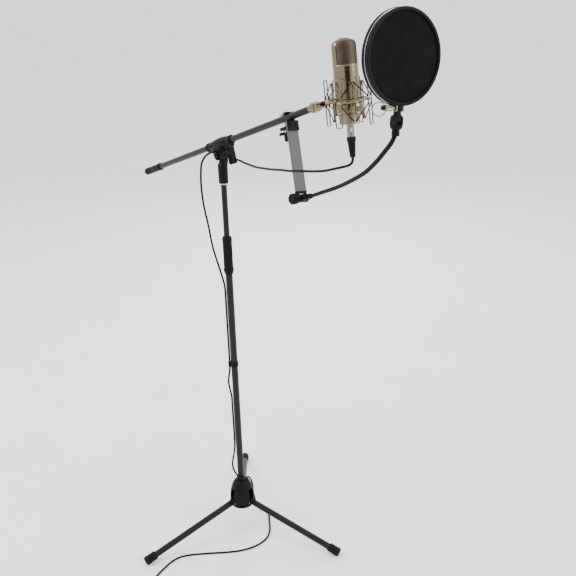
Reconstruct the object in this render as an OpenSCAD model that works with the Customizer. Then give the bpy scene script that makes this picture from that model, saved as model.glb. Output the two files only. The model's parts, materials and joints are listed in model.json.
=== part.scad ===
// Boom microphone stand with shock mount, microphone, pop filter and cable.
// Millimetres. Origin on the floor under the pole, +Z up, boom rising towards +X.

/* [Stand] */
// Radius of the circle that the ends of the feet reach
foot_circle = 340; // [320:5:360]
// Height of the leg hinges above the floor
hinge_z = 97; // [94:1:100]
// Turn of the first leg from the boom, seen from above
leg_turn = 22; // [20:1:24]
// Outside diameter of the leg tubes
leg_d = 19.4; // [18:0.2:19.4]
// Outside diameter of the lower pole tube
lower_d = 20; // [19:0.5:20]
// Height of the top of the clutch grip
clutch_top = 983; // [980:1:990]

/* [Boom] */
// Outside diameter of the boom and of the upper pole tube
tube_d = 16; // [15:0.5:16]
// Height of the boom's axis above the floor, over the pole
boom_z = 1238; // [1230:1:1245]
// Rise of the boom towards the microphone, in degrees
boom_rise = 20.4; // [18:0.2:22]
// Reach of the boom tube from the pole to its microphone end
boom_front = 372; // [360:2:380]
// Reach of the boom tube from the pole to its rear end
boom_rear = 424; // [400:4:440]
// Place of the accessory bar along the boom
bar_at = 299; // [290:1:305]
// Length of the accessory bar, from the boom's axis to its pivot
bar_len = 186; // [180:1:190]

/* [Microphone] */
// Diameter of the microphone body
mic_d = 52; // [50:0.5:52]
// Lean of the microphone back towards the pole, in degrees
mic_lean = 7.6; // [5:0.2:10]
// Outside diameter of the pop filter hoops
hoop_d = 162; // [150:2:166]

/* [Cable] */
// Diameter of the cable
cable_d = 6; // [5:0.5:6]

/* [Hidden] */
$fn = 48;
fit = 0.05;            // running clearance of shafts and tubes
gap = 0.3;             // clearance between parts that move apart
wall = 1.2;            // wall of the tubes
tube_r = tube_d / 2;
lower_r = lower_d / 2;
leg_r = leg_d / 2;

// legs: hinge pins sit on a circle round the pole, each foot rests on the floor
hinge_r = 33;
foot_axis_z = 10.8;    // low enough for a small flat under the rounded end
foot_r = 13.5;
leg_slope = atan2(hinge_z - foot_axis_z, foot_circle - hinge_r);
leg_len = (foot_circle - hinge_r) / cos(leg_slope);
leg_start = 16;
pin_r = 3;

// hub bell
bell_r = 38;
bell_low = 84;
bell_top = 172;
slot_low = 107.9;
slot_top = 144;

// clutch and upper tube
tube_low = 76;
lower_top = 905;
clutch_low = 880;
collet_top = clutch_top - 21;
upper_low = 600;
head_low = 1133;

// boom tilt hinge, given in the boom's own axes
tilt_z = 1210;
hinge_drop = boom_z - tilt_z;
hinge_t = -hinge_drop * sin(boom_rise);
hinge_n = -hinge_drop * cos(boom_rise);
disc_r = 15;

// microphone axis point and the shock mount round it
mic_at = [464.3, 0, 1409.2];
mic_r = mic_d / 2;
cage_turn = -25;
ring_r = 46;
swivel_t = 412;
face_turn = 82;        // azimuth of the head straps

// accessory bar and pop filter
bar_swing = 8;
bar_w = 30;
hoop_at = [701, -104, 1511.5];
hoop_r = hoop_d / 2;
hoop_turn = [-8, -4.7, -7.7];
stem_z = -104;

// cable route, point by point along each stretch, with a short gap where two stretches meet
cord_gap = 1.2;
mic_route = [[481, 0, 1283], [482, -2, 1274], [478, -7, 1267], [466, -14, 1262], [450, -23, 1257],
  [428, -32, 1250], [400, -39, 1245], [360, -43, 1239], [320, -39, 1231], [278, -30, 1224]];
head_route = [[278, -30, 1224], [228, -19, 1214], [178, -8, 1206], [140, 2, 1200], [103, 12, 1197],
  [55, 28, 1192], [25, 40, 1189], [0, 45, 1188], [-20, 38, 1194], [-36, 25, 1202],
  [-49, 12, 1206], [-60, 3, 1202]];
drop_route = [[-60, 3, 1202], [-70, -4, 1194], [-78, -9, 1181], [-83, -13, 1163], [-86, -15, 1118],
  [-83, -15, 1071], [-78, -14, 1040], [-70, -13, 1010], [-54, -13, 945], [-44, -13, 920],
  [-33, -13, 898], [-22, -13.5, 878]];
pole_route = [[-22, -13.5, 878], [-14, -14, 862], [-9, -12.5, 845], [-7.8, -11.1, 820], [-7.8, -11.1, 760],
  [-7.8, -11.1, 640], [-7.8, -11.1, 588], [-8.2, -11.8, 568], [-11.5, -16.4, 530], [-10, -14.4, 500],
  [-8, -11.5, 478], [-7.8, -11.1, 440], [-7.8, -11.1, 310], [-10, -14, 272], [-13, -18.5, 245],
  [-14, -19.5, 225], [-10, -18, 207], [-2, -14.8, 195], [8, -12.3, 187], [14, -5, 182],
  [14.5, 5, 179], [11, 15, 176], [6, 24, 171], [5, 32.5, 157], [4, 38.5, 137],
  [3, 42, 100], [0, 49, 68], [-4, 56, 40], [-8, 65, 18], [-8, 77, 5.5],
  [-3, 86, 3], [7, 91, 3], [22, 86, 3], [45, 70, 3], [70, 52, 3],
  [90, 36, 3], [108, 12, 3], [115, -12, 3], [114, -45, 3], [102, -83, 3],
  [80, -120, 3], [48, -163, 3], [18, -205, 3], [0, -240, 3], [-2, -270, 3],
  [6, -303, 3], [18, -337, 3], [33, -370, 3], [48, -397, 3], [66, -420, 3]];
neck_route = [[368, -26, 1178.4], [392, -32, 1188], [425, -44, 1202], [470, -60, 1221], [520, -76, 1243],
  [570, -91, 1268], [618, -104, 1295], [655, -114, 1323], [684, -121, 1350], [701, -124, 1368],
  [707.5, -123.4, 1381]];

// coil of the spare cable, turns one cable apart
coil_at = [93, -391, 0];
coil_r = 33;
coil_half = 9;
coil_h = 18;

// plug past the end of the coil's last turn, which it leaves at a tangent
plug_turn = 75;
tail_at = [130.7, -401.1, 9.6];
tail_len = 28;
plug_at = tail_at + (tail_len + 34) * [cos(plug_turn), sin(plug_turn), 0];

// ---- shared shapes ----

module tube(r, h, t = wall) {
  difference() {
    cylinder(r = r, h = h);
    translate([0, 0, -1]) cylinder(r = r - t, h = h + 2);
  }
}

module along_x() { rotate([0, 90, 0]) children(); }

module along_y() { rotate([-90, 0, 0]) children(); }

// straight wire between two points
module rod(a, b, r) {
  d = b - a;
  translate(a) rotate([0, acos(d[2] / norm(d)), atan2(d[1], d[0])])
    cylinder(r = r, h = norm(d), $fn = 24);
}

// ring of round wire lying in the XY plane
module wire_ring(r, w) { rotate_extrude() translate([r, 0]) circle(w, $fn = 24); }

// upright wire hairpin standing tangentially, as the cages carry
module hairpin(r, half, low, high, w) {
  for (side = [-half, half]) translate([r, side, low]) cylinder(r = w, h = high - low, $fn = 24);
  for (z = [low, high]) rod([r, -half - w, z], [r, half + w, z], w);
}

// ---- cords: a tube swept along a smooth curve through the route's points ----

function spline(a, b, c, d, t) = 0.5 * (2 * b + t * (c - a) + t * t * (2 * a - 5 * b + 4 * c - d)
  + t * t * t * (3 * b - a - 3 * c + d));

function smooth(p, n) = [for (i = [0:len(p) - 2], k = [0:n - 1])
  spline(p[max(i - 1, 0)], p[i], p[i + 1], p[min(i + 2, len(p) - 1)], k / n), p[len(p) - 1]];

function unit(v) = v / norm(v);

function heading(p, i) = unit(p[min(i + 1, len(p) - 1)] - p[max(i - 1, 0)]);

function square_to(v, t) = unit(v - (v * t) * t);

module swept(p, r, sides) {
  last = len(p) - 1;
  rings = [for (i = 0, n = square_to([0.3, 1, 0.2], heading(p, 0)); i <= last;
    i = i + 1, n = i <= last ? square_to(n, heading(p, i)) : n)
      [for (k = [0:sides - 1]) p[i] + r * (cos(360 * k / sides) * n
        + sin(360 * k / sides) * cross(heading(p, i), n))]];
  points = [for (ring = rings) each ring];
  sleeve = [for (i = [0:last - 1], k = [0:sides - 1])
    [i * sides + k, (i + 1) * sides + k, (i + 1) * sides + (k + 1) % sides, i * sides + (k + 1) % sides]];
  polyhedron(points, concat(sleeve, [[for (k = [0:sides - 1]) k]],
    [[for (k = [sides - 1:-1:0]) last * sides + k]]));
}

// a stretch starts just clear of the stretch before it, which moves with another body
module cord(route) {
  start = route[0] + cord_gap * heading(route, 0);
  color([0.05, 0.05, 0.055])
    swept([start, for (i = [1:len(route) - 1]) route[i]], cable_d / 2, 8);
}

// ---- frames that the parts are placed in ----

module at_leg(i) { rotate([0, 0, leg_turn + 120 * i]) children(); }

module on_leg(i) { at_leg(i) translate([hinge_r, 0, hinge_z]) rotate([0, leg_slope, 0]) children(); }

module on_boom(t = 0, n = 0) {
  translate([0, 0, boom_z]) rotate([0, -boom_rise, 0]) translate([t, 0, n]) children();
}

module on_mic(z = 0) { translate(mic_at) rotate([0, -mic_lean, 0]) translate([0, 0, z]) children(); }

module on_bar() { on_boom(bar_at) rotate([-bar_swing, 0, 0]) children(); }

module on_hoop() {
  translate(hoop_at) rotate([0, hoop_turn[1], hoop_turn[2]]) rotate([hoop_turn[0], 0, 0]) children();
}

// ---- base ----

module hub() {
  color([0.06, 0.06, 0.065]) difference() {
    rotate_extrude($fn = 72) polygon(concat([[lower_r, bell_low], [bell_r - 1, bell_low], [bell_r, bell_low + 2]],
      [for (a = [10:10:90]) [13 + (bell_r - 13) * cos(a), 100 + (bell_top - 100) * sin(a)]],
      [[lower_r, bell_top + 2]]));
    for (i = [0:2]) at_leg(i) {
      // each leg folds up into its slot
      translate([22, -5.3, 50]) cube([40, 10.6, 58]);
      translate([22.5, -10.3, slot_low]) cube([40, 20.6, slot_top - slot_low]);
      translate([hinge_r, -30, hinge_z]) along_y() cylinder(r = pin_r, h = 60);
      // window over the bottom rim, between two legs
      rotate([0, 0, 60]) translate([16, -7, bell_low - 1]) cube([14, 14, 15]);
      rotate([0, 0, 60]) translate([16, -7, bell_low + 6]) cube([40, 14, 8]);
    }
  }
}

module tube_plug() {
  color([0.05, 0.05, 0.05]) {
    translate([0, 0, tube_low - 8]) cylinder(r = lower_r + 1, h = 8);
    translate([0, 0, tube_low]) cylinder(r = lower_r - wall, h = 14);
  }
}

module leg_pins() {
  color("silver") for (i = [0:2]) at_leg(i) translate([hinge_r, -15, hinge_z]) along_y()
    cylinder(r = pin_r, h = 30);
}

module leg_lug(i) {
  color([0.07, 0.07, 0.075]) on_leg(i) difference() {
    union() {
      translate([0, -5, 0]) along_y() cylinder(r = 9, h = 10);
      translate([0, -5, -8.5]) cube([12, 10, 17]);
      translate([12, 0, 0]) along_x() cylinder(r = leg_r, h = leg_start - 12);
      translate([leg_start, 0, 0]) along_x() cylinder(r = leg_r - wall, h = 20);
    }
    translate([0, -20, 0]) along_y() cylinder(r = pin_r + fit, h = 40);
  }
}

module leg_tube(i) {
  color([0.07, 0.07, 0.08]) on_leg(i) translate([leg_start, 0, 0]) along_x()
    tube(leg_r, leg_len - leg_start - 8);
}

// rubber foot: a rounded cap over the end of the leg, flat where it stands
module leg_foot(i) {
  color([0.03, 0.03, 0.03]) difference() {
    on_leg(i) along_x() rotate_extrude() difference() {
      union() {
        translate([0, leg_len - 38]) square([foot_r - 2, 38]);
        translate([0, leg_len - 36]) square([foot_r, 30]);
        translate([foot_r - 6, leg_len - 6]) circle(6);
        translate([0, leg_len - 6]) square([foot_r - 6, 6]);
      }
      translate([-1, leg_len - 60]) square([leg_r + 1, 52]);
      translate([-foot_r, leg_len - 60]) square([foot_r, 80]);
    }
    translate([-500, -500, -50]) cube([1000, 1000, 50]);
  }
}

module lower_tube() {
  color([0.07, 0.07, 0.08]) translate([0, 0, tube_low]) tube(lower_r, lower_top - tube_low);
}

module clutch_collar() {
  color([0.12, 0.12, 0.12]) translate([0, 0, clutch_low - 6]) tube(lower_r + 2, lower_top - clutch_low + 6, 2);
}

// sprung clip that holds the cable beside the pole
module pole_clip() {
  color([0.04, 0.04, 0.04]) translate([0, 0, 580]) rotate([0, 0, 235]) linear_extrude(14) difference() {
    union() {
      circle(lower_r + 1.8);
      translate([8, -5]) square([10.4, 10]);
    }
    circle(lower_r);
    translate([13.8, 0]) circle(cable_d / 2 + 0.2);
    translate([13.8, -2.5]) square([10, 5]);
  }
}

// ---- clutch and upper tube ----

module clutch_grip() {
  color([0.05, 0.05, 0.05]) difference() {
    rotate_extrude($fn = 72) polygon([
      [lower_r + 2 + gap, clutch_low], [14.4, clutch_low], [14.4, clutch_low + 6], [13, clutch_low + 12],
      [13, clutch_top - 14], [13.6, clutch_top - 12], [13.6, clutch_top - 5], [11, clutch_top],
      [tube_r + gap, clutch_top], [tube_r + gap, collet_top + 1], [11 + gap, collet_top + 1],
      [11 + gap, lower_top + 1], [lower_r + 2 + gap, lower_top + 1]]);
    for (a = [0:24:336]) rotate([0, 0, a]) translate([13.6, 0, clutch_low + 16])
      cylinder(r = 1.1, h = clutch_top - clutch_low - 34, $fn = 16);
  }
}

module clutch_collet() {
  color([0.7, 0.7, 0.68]) translate([0, 0, lower_top + 2]) difference() {
    cylinder(r = 11, h = collet_top - lower_top - 2);
    translate([0, 0, -1]) cylinder(r = tube_r + fit, h = 80);
    translate([6, -0.6, 12]) cube([8, 1.2, 80]);
  }
}

module upper_tube() {
  color([0.07, 0.07, 0.08]) translate([0, 0, upper_low]) tube(tube_r, head_low + 27 - upper_low);
}

module tube_bush() {
  color([0.85, 0.85, 0.83]) translate([0, 0, upper_low]) {
    cylinder(r = tube_r - wall, h = 15);
    translate([0, 0, -10]) cylinder(r = lower_r - wall - fit, h = 10);
  }
}

module head_ring() {
  color("silver") translate([0, 0, head_low - 2.6]) tube(12.8, 2.6, 12.8 - tube_r);
}

// head: a socket on the upper tube that rises into one toothed disc
module t_head() {
  color([0.06, 0.06, 0.065]) difference() {
    union() {
      translate([0, 0, head_low]) cylinder(r1 = 12.6, r2 = 13.4, h = 47, $fn = 64);
      hull() {
        translate([0, 0, head_low + 46]) cylinder(r = 13.4, h = 1, $fn = 32);
        translate([-9, -2, tilt_z - 18]) cube([18, 14, 2]);
      }
      translate([-9, -2, tilt_z - 18]) cube([18, 14, 14]);
      translate([0, -2, tilt_z]) along_y() cylinder(r = disc_r, h = 14);
    }
    translate([0, 0, head_low - 1]) cylinder(r = tube_r, h = 28);
    translate([0, -20, tilt_z]) along_y() cylinder(r = 4 + fit, h = 50);
  }
}

// ---- boom clamp ----

module boom_clamp() {
  color([0.06, 0.06, 0.065]) difference() {
    union() {
      on_boom() along_x() rotate_extrude() polygon(concat(
        [[tube_r + fit, -62], [10.5, -62], [10.5, -50], [11.6, -50]],
        [for (a = [-40:10:40]) [8.4 + 6.6 * cos(1.5 * a), a]],
        [[12, 48], [10.6, 50], [tube_r + fit, 50]]));
      on_boom() translate([-26, -13, -20]) cube([34, 10.7, 12]);
      on_boom(hinge_t, hinge_n) translate([0, -16, 0]) along_y() cylinder(r = disc_r, h = 13.7);
      on_boom() translate([18, -7, -16.5]) cube([28, 14, 8]);
    }
    on_boom(-80) along_x() cylinder(r = tube_r + fit, h = 160);
    translate([0, -2 - gap, tilt_z]) along_y() cylinder(r = disc_r + 0.5, h = 40);
    translate([0, -40, tilt_z]) along_y() cylinder(r = 4, h = 40);
  }
}

module pivot_bolt() {
  color("silver") {
    translate([0, -16, tilt_z]) along_y() cylinder(r = 4, h = 42);
    translate([0, -20, tilt_z]) along_y() cylinder(r = 7, h = 4, $fn = 6);
  }
}

module tilt_knob() {
  color([0.04, 0.04, 0.04]) translate([0, 12 + gap, tilt_z]) difference() {
    union() {
      along_y() cylinder(r = 10, h = 12);
      rotate([0, -14, 0]) hull() for (z = [-19, 19]) translate([0, 8, z]) along_y()
        cylinder(r = 6.5, h = 16, $fn = 32);
    }
    translate([0, -1, 0]) along_y() cylinder(r = 4 + fit, h = 16);
  }
}

// ring clip on the clamp's rear collar, with a loop for the cable
module cable_clip() {
  color([0.04, 0.04, 0.04]) {
    on_boom(-61) along_x() tube(12.3, 8, 1.8);
    translate([-50, 11.2, 1206]) rotate([0, 0, 37]) translate([-3.5, 0, 0]) along_x() tube(5.6, 7, 2.2);
  }
}

// ---- boom ----

module boom_tube() {
  color([0.07, 0.07, 0.08]) on_boom(-boom_rear) along_x() tube(tube_r, boom_rear + boom_front);
}

module rear_grip() {
  color([0.03, 0.03, 0.03]) on_boom(-boom_rear - 6) along_x() difference() {
    rotate_extrude() polygon([[0, 0], [8.8, 0], [10.3, 1.6], [10.3, 90], [9.6, 92], [0, 92]]);
    translate([0, 0, 6]) cylinder(r = tube_r, h = 100);
  }
}

module boom_insert() {
  color("silver") on_boom(boom_front) along_x() {
    translate([0, 0, -20]) cylinder(r = tube_r - wall, h = 20);
    cylinder(r = 4.76, h = 22);
  }
}

module mount_adaptor() {
  color([0.72, 0.66, 0.52]) on_boom(boom_front) difference() {
    union() {
      along_x() cylinder(r1 = 9, r2 = 11.5, h = 12, $fn = 64);
      translate([12, 0, 0]) along_x() cylinder(r = 12.4, h = 10, $fn = 64);
      translate([22, -10, -9]) cube([4, 20, 18]);
      for (y = [-10, 5.3]) translate([22, y, -8]) cube([18, 4.7, 16]);
      for (y = [-10, 5.3]) translate([40, y, 0]) along_y() cylinder(r = 8, h = 4.7);
    }
    translate([-1, 0, 0]) along_x() cylinder(r = 4.76, h = 23);
    translate([40, -30, 0]) along_y() cylinder(r = pin_r + fit, h = 60);
  }
}

// ---- shock mount ----

module mount_arm() {
  color([0.72, 0.66, 0.52]) on_boom() difference() {
    union() {
      translate([swivel_t, -5, 0]) along_y() cylinder(r = 8, h = 10);
      translate([swivel_t, -5, -6]) cube([28, 10, 12]);
      translate([swivel_t + 26, -6, -7]) cube([9, 12, 14]);
    }
    translate([swivel_t, -30, 0]) along_y() cylinder(r = pin_r + fit, h = 60);
  }
}

// thumb knob with its bolt through the swivel
module mount_knob() {
  color([0.72, 0.66, 0.52]) on_boom(swivel_t) {
    translate([0, -14, 0]) along_y() cylinder(r = pin_r, h = 25);
    translate([0, -22, 0]) along_y() cylinder(r = 8, h = 11.7, $fn = 12);
  }
}

module outer_cage() {
  color([0.72, 0.68, 0.55]) on_mic() {
    translate([0, 0, -11]) tube(ring_r + 2, 4, 4);
    for (k = [0:3]) rotate([0, 0, cage_turn + 45 + 90 * k]) hairpin(ring_r + 3.2, 7, -60, 34, 1.4);
    // cable loop beside the front hairpin
    rotate([0, 0, cage_turn + 45]) translate([ring_r + 3.2, 7, -33]) rotate([0, 0, -55])
      translate([0, 14, 0]) rotate([0, 90, 0]) wire_ring(14, 1.2);
  }
}

module inner_cage() {
  color([0.72, 0.68, 0.55]) on_mic() {
    rotate([0, 0, cage_turn + 45])
      rotate_extrude() polygon([[22, -38], [31, -38], [31, -12], [26.2, -12], [26.2, -34], [22, -34]]);
    for (k = [0:3]) rotate([0, 0, cage_turn + 90 * k]) hairpin(31.8, 5, -50, 27, 1.3);
  }
}

// elastic cords, laced between the two cages above and below
module suspension() {
  color([0.1, 0.1, 0.1]) on_mic() for (k = [0:3], side = [-1, 1]) rotate([0, 0, cage_turn + 90 * k]) {
    rod([33.8, 4 * side, 26], [ring_r * cos(37), ring_r * side * sin(37), -6.4], 1.1);
    rod([33.8, 4 * side, -49], [ring_r * cos(37), ring_r * side * sin(37), -11.6], 1.1);
  }
}

// ---- microphone ----

module mic_body() {
  color([0.76, 0.7, 0.56]) on_mic(-33.8) tube(mic_r, 93.8, 1.6);
}

module mic_base() {
  color([0.76, 0.7, 0.56]) on_mic() {
    translate([0, 0, -58]) cylinder(r = 21.8, h = 25, $fn = 64);
    translate([0, 0, -33.8]) cylinder(r = mic_r - 1.7, h = 8);
  }
}

module grille_shell(r) {
  rotate_extrude($fn = 72) polygon(concat([[0, 60], [r, 60], [r, 98]],
    [for (a = [15:15:75]) [r - 12 + 12 * cos(a), 98 + 12 * sin(a)]], [[r - 12, 110], [0, 115]]));
}

module mic_grille() {
  color([0.35, 0.3, 0.24]) on_mic() difference() {
    grille_shell(mic_r - 0.4);
    translate([0, 0, -1]) grille_shell(mic_r - 2.4);
    translate([0, 0, 50]) cylinder(r = mic_r - 2.4, h = 20);
  }
}

// two metal straps that run up the sides of the grille
module head_frame() {
  color([0.76, 0.7, 0.56]) on_mic() intersection() {
    difference() {
      grille_shell(mic_r + 1.4);
      grille_shell(mic_r - 0.4);
    }
    rotate([0, 0, face_turn]) translate([-40, -8, 61]) cube([80, 16, 60]);
  }
}

module mic_capsule() {
  color([0.8, 0.7, 0.4]) on_mic() rotate([0, 0, face_turn]) {
    translate([0, -4, 86]) along_y() cylinder(r = 16, h = 8);
    translate([0, 0, -25]) cylinder(r = 3, h = 96);
  }
}

module cable_socket() {
  color([0.72, 0.7, 0.64]) on_mic() difference() {
    translate([0, 0, -84]) cylinder(r = 7.6, h = 26);
    rotate([0, 0, -35]) translate([5.2, -2.6, -74]) cube([6, 5.2, 10]);
  }
}

module latch_button() {
  color("silver") on_mic() rotate([0, 0, -35]) translate([6.8, -2.3, -73.6]) cube([2.2, 4.6, 9.2]);
}

module cable_boot() {
  color([0.03, 0.03, 0.03]) on_mic() rotate_extrude() polygon([
    [0, -84], [9.7, -84], [9.9, -88], [9.6, -100], [7.2, -122], [6.4, -127], [0, -127]]);
}

// ---- accessory bar ----

// open jaw that hooks over the boom, with a threaded arm below
module bar_clamp() {
  color([0.04, 0.04, 0.04]) on_bar() difference() {
    union() {
      translate([-34, -9, tube_r + gap]) cube([31.5, 23, 5]);
      translate([-34, tube_r + 1, -26]) cube([31.5, 5, 39.3]);
      translate([-34, -10, -26]) cube([31.5, 24, 7]);
      translate([2.5, -16, -32]) cube([4, 32, 23]);
    }
    translate([-23, 0, -40]) cylinder(r = pin_r + fit, h = 30);
  }
}

module accessory_bar() {
  color([0.42, 0.42, 0.42]) on_bar() {
    translate([-2.5, -bar_w / 2, -bar_len + 13.5]) cube([5, bar_w, bar_len - 22.5]);
    for (y = [-14, 8.2]) {
      translate([-2.5, y, -bar_len]) cube([5, 5.8, 15]);
      translate([0, y, -bar_len]) along_y() cylinder(r = 10, h = 5.8);
    }
    translate([0, -27, -bar_len]) along_y() cylinder(r = pin_r, h = 41);
  }
}

module clamp_screw() {
  color([0.6, 0.6, 0.6]) on_bar() translate([-23, 0, 0]) {
    translate([0, 0, -42]) cylinder(r = pin_r, h = 32);
    translate([0, 0, -12]) cylinder(r = 5, h = 3.6);
  }
  color([0.04, 0.04, 0.04]) on_bar() translate([-23, 0, 0]) {
    translate([0, 0, -52]) cylinder(r = 6.5, h = 18);
    rotate([0, 0, 200]) translate([-5, -3, -36]) cube([24, 6, 8]);
  }
}

module goose_base() {
  color([0.04, 0.04, 0.04]) on_bar() translate([0, 0, -bar_len]) difference() {
    union() {
      translate([0, -7.9, 0]) along_y() cylinder(r = 9.4, h = 15.8);
      along_x() cylinder(r = 7.2, h = 24.6);
    }
    translate([0, -20, 0]) along_y() cylinder(r = pin_r + fit, h = 40);
  }
}

module goose_knob() {
  color([0.04, 0.04, 0.04]) on_bar() translate([0, -31, -bar_len]) difference() {
    along_y() cylinder(r = 13, h = 16.7);
    for (a = [0:45:315]) rotate([0, a, 0]) translate([15.2, -1, 0]) along_y() cylinder(r = 3.4, h = 19, $fn = 24);
    translate([0, 3.5, 0]) along_y() cylinder(r = pin_r + fit, h = 20);
  }
}

// flexible neck with a ferrule and a fork at its upper end
module gooseneck() {
  color([0.05, 0.05, 0.05]) {
    swept(smooth(neck_route, 3), 4.5, 12);
    on_hoop() translate([0, 0, stem_z]) {
      translate([0, 0, -28]) cylinder(r = 7.2, h = 14);
      translate([-8, -9, -16]) cube([16, 18, 6]);
      for (y = [-9, 5]) {
        translate([-8, y, -12]) cube([16, 4, 12]);
        translate([0, y, 0]) along_y() cylinder(r = 8, h = 4);
      }
      translate([0, -8.9, 0]) along_y() cylinder(r = pin_r, h = 17.8);
    }
  }
}

// ---- pop filter ----

module pop_hoops() {
  color([0.04, 0.04, 0.05]) on_hoop() {
    for (x = [-9, 3]) translate([x, 0, 0]) along_x() tube(hoop_r, 6, 6);
    for (a = [30:60:330]) rotate([a, 0, 0]) translate([-4, 0, hoop_r - 3]) along_x() cylinder(r = 2, h = 8);
  }
}

module pop_mesh() {
  color([0.08, 0.08, 0.09]) on_hoop() for (x = [-6.4, 5.6]) translate([x, 0, 0]) along_x()
    cylinder(r = hoop_r - 6, h = 0.8, $fn = 72);
}

module pop_bracket() {
  color([0.75, 0.75, 0.73]) on_hoop() difference() {
    union() {
      translate([-10.5, -9, -hoop_r - 9]) cube([21, 18, 14]);
      translate([-5, -4.7, stem_z]) cube([10, 9.4, 15]);
      translate([0, -4.7, stem_z]) along_y() cylinder(r = 7.4, h = 9.4);
    }
    translate([-9, 0, 0]) along_x() cylinder(r = hoop_r, h = 18);
    translate([0, -10, -hoop_r - 4]) along_y() cylinder(r = 2.5 + fit, h = 8);
    translate([0, -10, stem_z]) along_y() cylinder(r = pin_r + fit, h = 20);
  }
}

module pop_screw() {
  on_hoop() translate([0, 0, -hoop_r - 4]) {
    color("silver") translate([0, -30, 0]) along_y() cylinder(r = 5.4, h = 20.7, $fn = 24);
    color("silver") translate([0, -9.4, 0]) along_y() cylinder(r = 2.5, h = 6);
    color([0.04, 0.04, 0.04]) translate([0, -35, 0]) along_y() cylinder(r = 4.4, h = 5);
  }
}

// ---- cable ----

// stretch down the pole and over the floor, and the short tail between coil and plug
module cable_pole() {
  cord(pole_route);
  color([0.05, 0.05, 0.055]) translate(tail_at) rotate([0, 0, plug_turn]) along_x()
    cylinder(r = cable_d / 2, h = tail_len);
}

module cable_coil() {
  color([0.05, 0.05, 0.055]) translate(coil_at) rotate_extrude()
    translate([coil_r - coil_half, 0]) square([2 * coil_half, coil_h]);
}

// hook and loop tie round one side of the coil
module coil_tie() {
  color([0.1, 0.1, 0.1]) translate(coil_at) rotate([0, 0, 100]) translate([coil_r, -6, 0]) difference() {
    translate([-coil_half - 1.4, 0, 0]) cube([2 * coil_half + 2.8, 12, coil_h + 1.4]);
    translate([-coil_half - 0.05, -1, -1]) cube([2 * coil_half + 0.1, 14, coil_h + 1]);
  }
}

module xlr_plug() {
  color([0.72, 0.7, 0.64]) translate(plug_at) rotate([0, 0, plug_turn]) along_x() {
    difference() {
      cylinder(r = 9.5, h = 34);
      translate([0, 0, 16]) cylinder(r = 8.3, h = 20);
    }
    for (a = [0:120:240]) rotate([0, 0, a + 30]) translate([4, 0, 15.5]) cylinder(r = 1.2, h = 13, $fn = 24);
  }
}

module plug_boot() {
  color([0.03, 0.03, 0.03]) translate(plug_at) rotate([0, 0, plug_turn]) along_x() rotate_extrude()
    polygon([[0, -34], [4.4, -34], [6, -28], [8.2, -6], [9.4, -2], [9.4, 0], [0, 0]]);
}

hub();
tube_plug();
leg_pins();
lower_tube();
clutch_collar();
pole_clip();
leg_tube(0);  // leg_tube_a
leg_tube(2);  // leg_tube_b
leg_tube(1);  // leg_tube_c
leg_lug(0);  // leg_lug_a
leg_lug(2);  // leg_lug_b
leg_lug(1);  // leg_lug_c
leg_foot(0);  // leg_foot_a
leg_foot(2);  // leg_foot_b
leg_foot(1);  // leg_foot_c
clutch_grip();
clutch_collet();
upper_tube();
tube_bush();
t_head();
head_ring();
boom_clamp();
cable_clip();
pivot_bolt();
tilt_knob();
boom_tube();
rear_grip();
boom_insert();
mount_adaptor();
mount_arm();
outer_cage();
inner_cage();
suspension();
mic_body();
mic_grille();
head_frame();
mic_capsule();
mic_base();
cable_socket();
cable_boot();
latch_button();
mount_knob();
bar_clamp();
accessory_bar();
clamp_screw();
goose_base();
gooseneck();
goose_knob();
pop_hoops();
pop_mesh();
pop_bracket();
pop_screw();
cord(mic_route);  // cable_mic
cord(head_route);  // cable_head
cord(drop_route);  // cable_drop
cable_pole();
cable_coil();
coil_tie();
xlr_plug();
plug_boot();
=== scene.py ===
import json
import math

import bmesh
import bpy
from mathutils import Matrix, Vector


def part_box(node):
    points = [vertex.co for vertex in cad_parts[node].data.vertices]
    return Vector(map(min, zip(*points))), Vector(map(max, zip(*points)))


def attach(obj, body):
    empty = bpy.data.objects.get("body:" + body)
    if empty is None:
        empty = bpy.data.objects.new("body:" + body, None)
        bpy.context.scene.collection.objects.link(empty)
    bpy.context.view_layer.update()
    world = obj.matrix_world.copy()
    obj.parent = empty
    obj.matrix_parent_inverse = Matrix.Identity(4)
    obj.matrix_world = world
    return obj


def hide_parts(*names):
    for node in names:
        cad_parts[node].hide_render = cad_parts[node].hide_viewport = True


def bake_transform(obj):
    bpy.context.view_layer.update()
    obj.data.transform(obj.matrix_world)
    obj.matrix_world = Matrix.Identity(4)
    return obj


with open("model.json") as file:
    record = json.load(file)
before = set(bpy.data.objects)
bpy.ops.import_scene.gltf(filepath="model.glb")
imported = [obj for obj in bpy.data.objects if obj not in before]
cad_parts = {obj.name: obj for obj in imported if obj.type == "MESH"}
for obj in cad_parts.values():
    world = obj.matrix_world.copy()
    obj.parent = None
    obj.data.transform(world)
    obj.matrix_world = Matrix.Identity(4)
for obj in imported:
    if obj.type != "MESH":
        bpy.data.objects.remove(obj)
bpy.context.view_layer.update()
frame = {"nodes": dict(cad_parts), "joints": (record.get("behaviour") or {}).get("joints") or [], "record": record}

mm = 0.001
scene = bpy.context.scene
joints = {j["name"]: j for j in frame["joints"]}
slotOfNode = {s["node"]: s["material_slot"] for s in frame["record"]["subparts"]}


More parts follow.
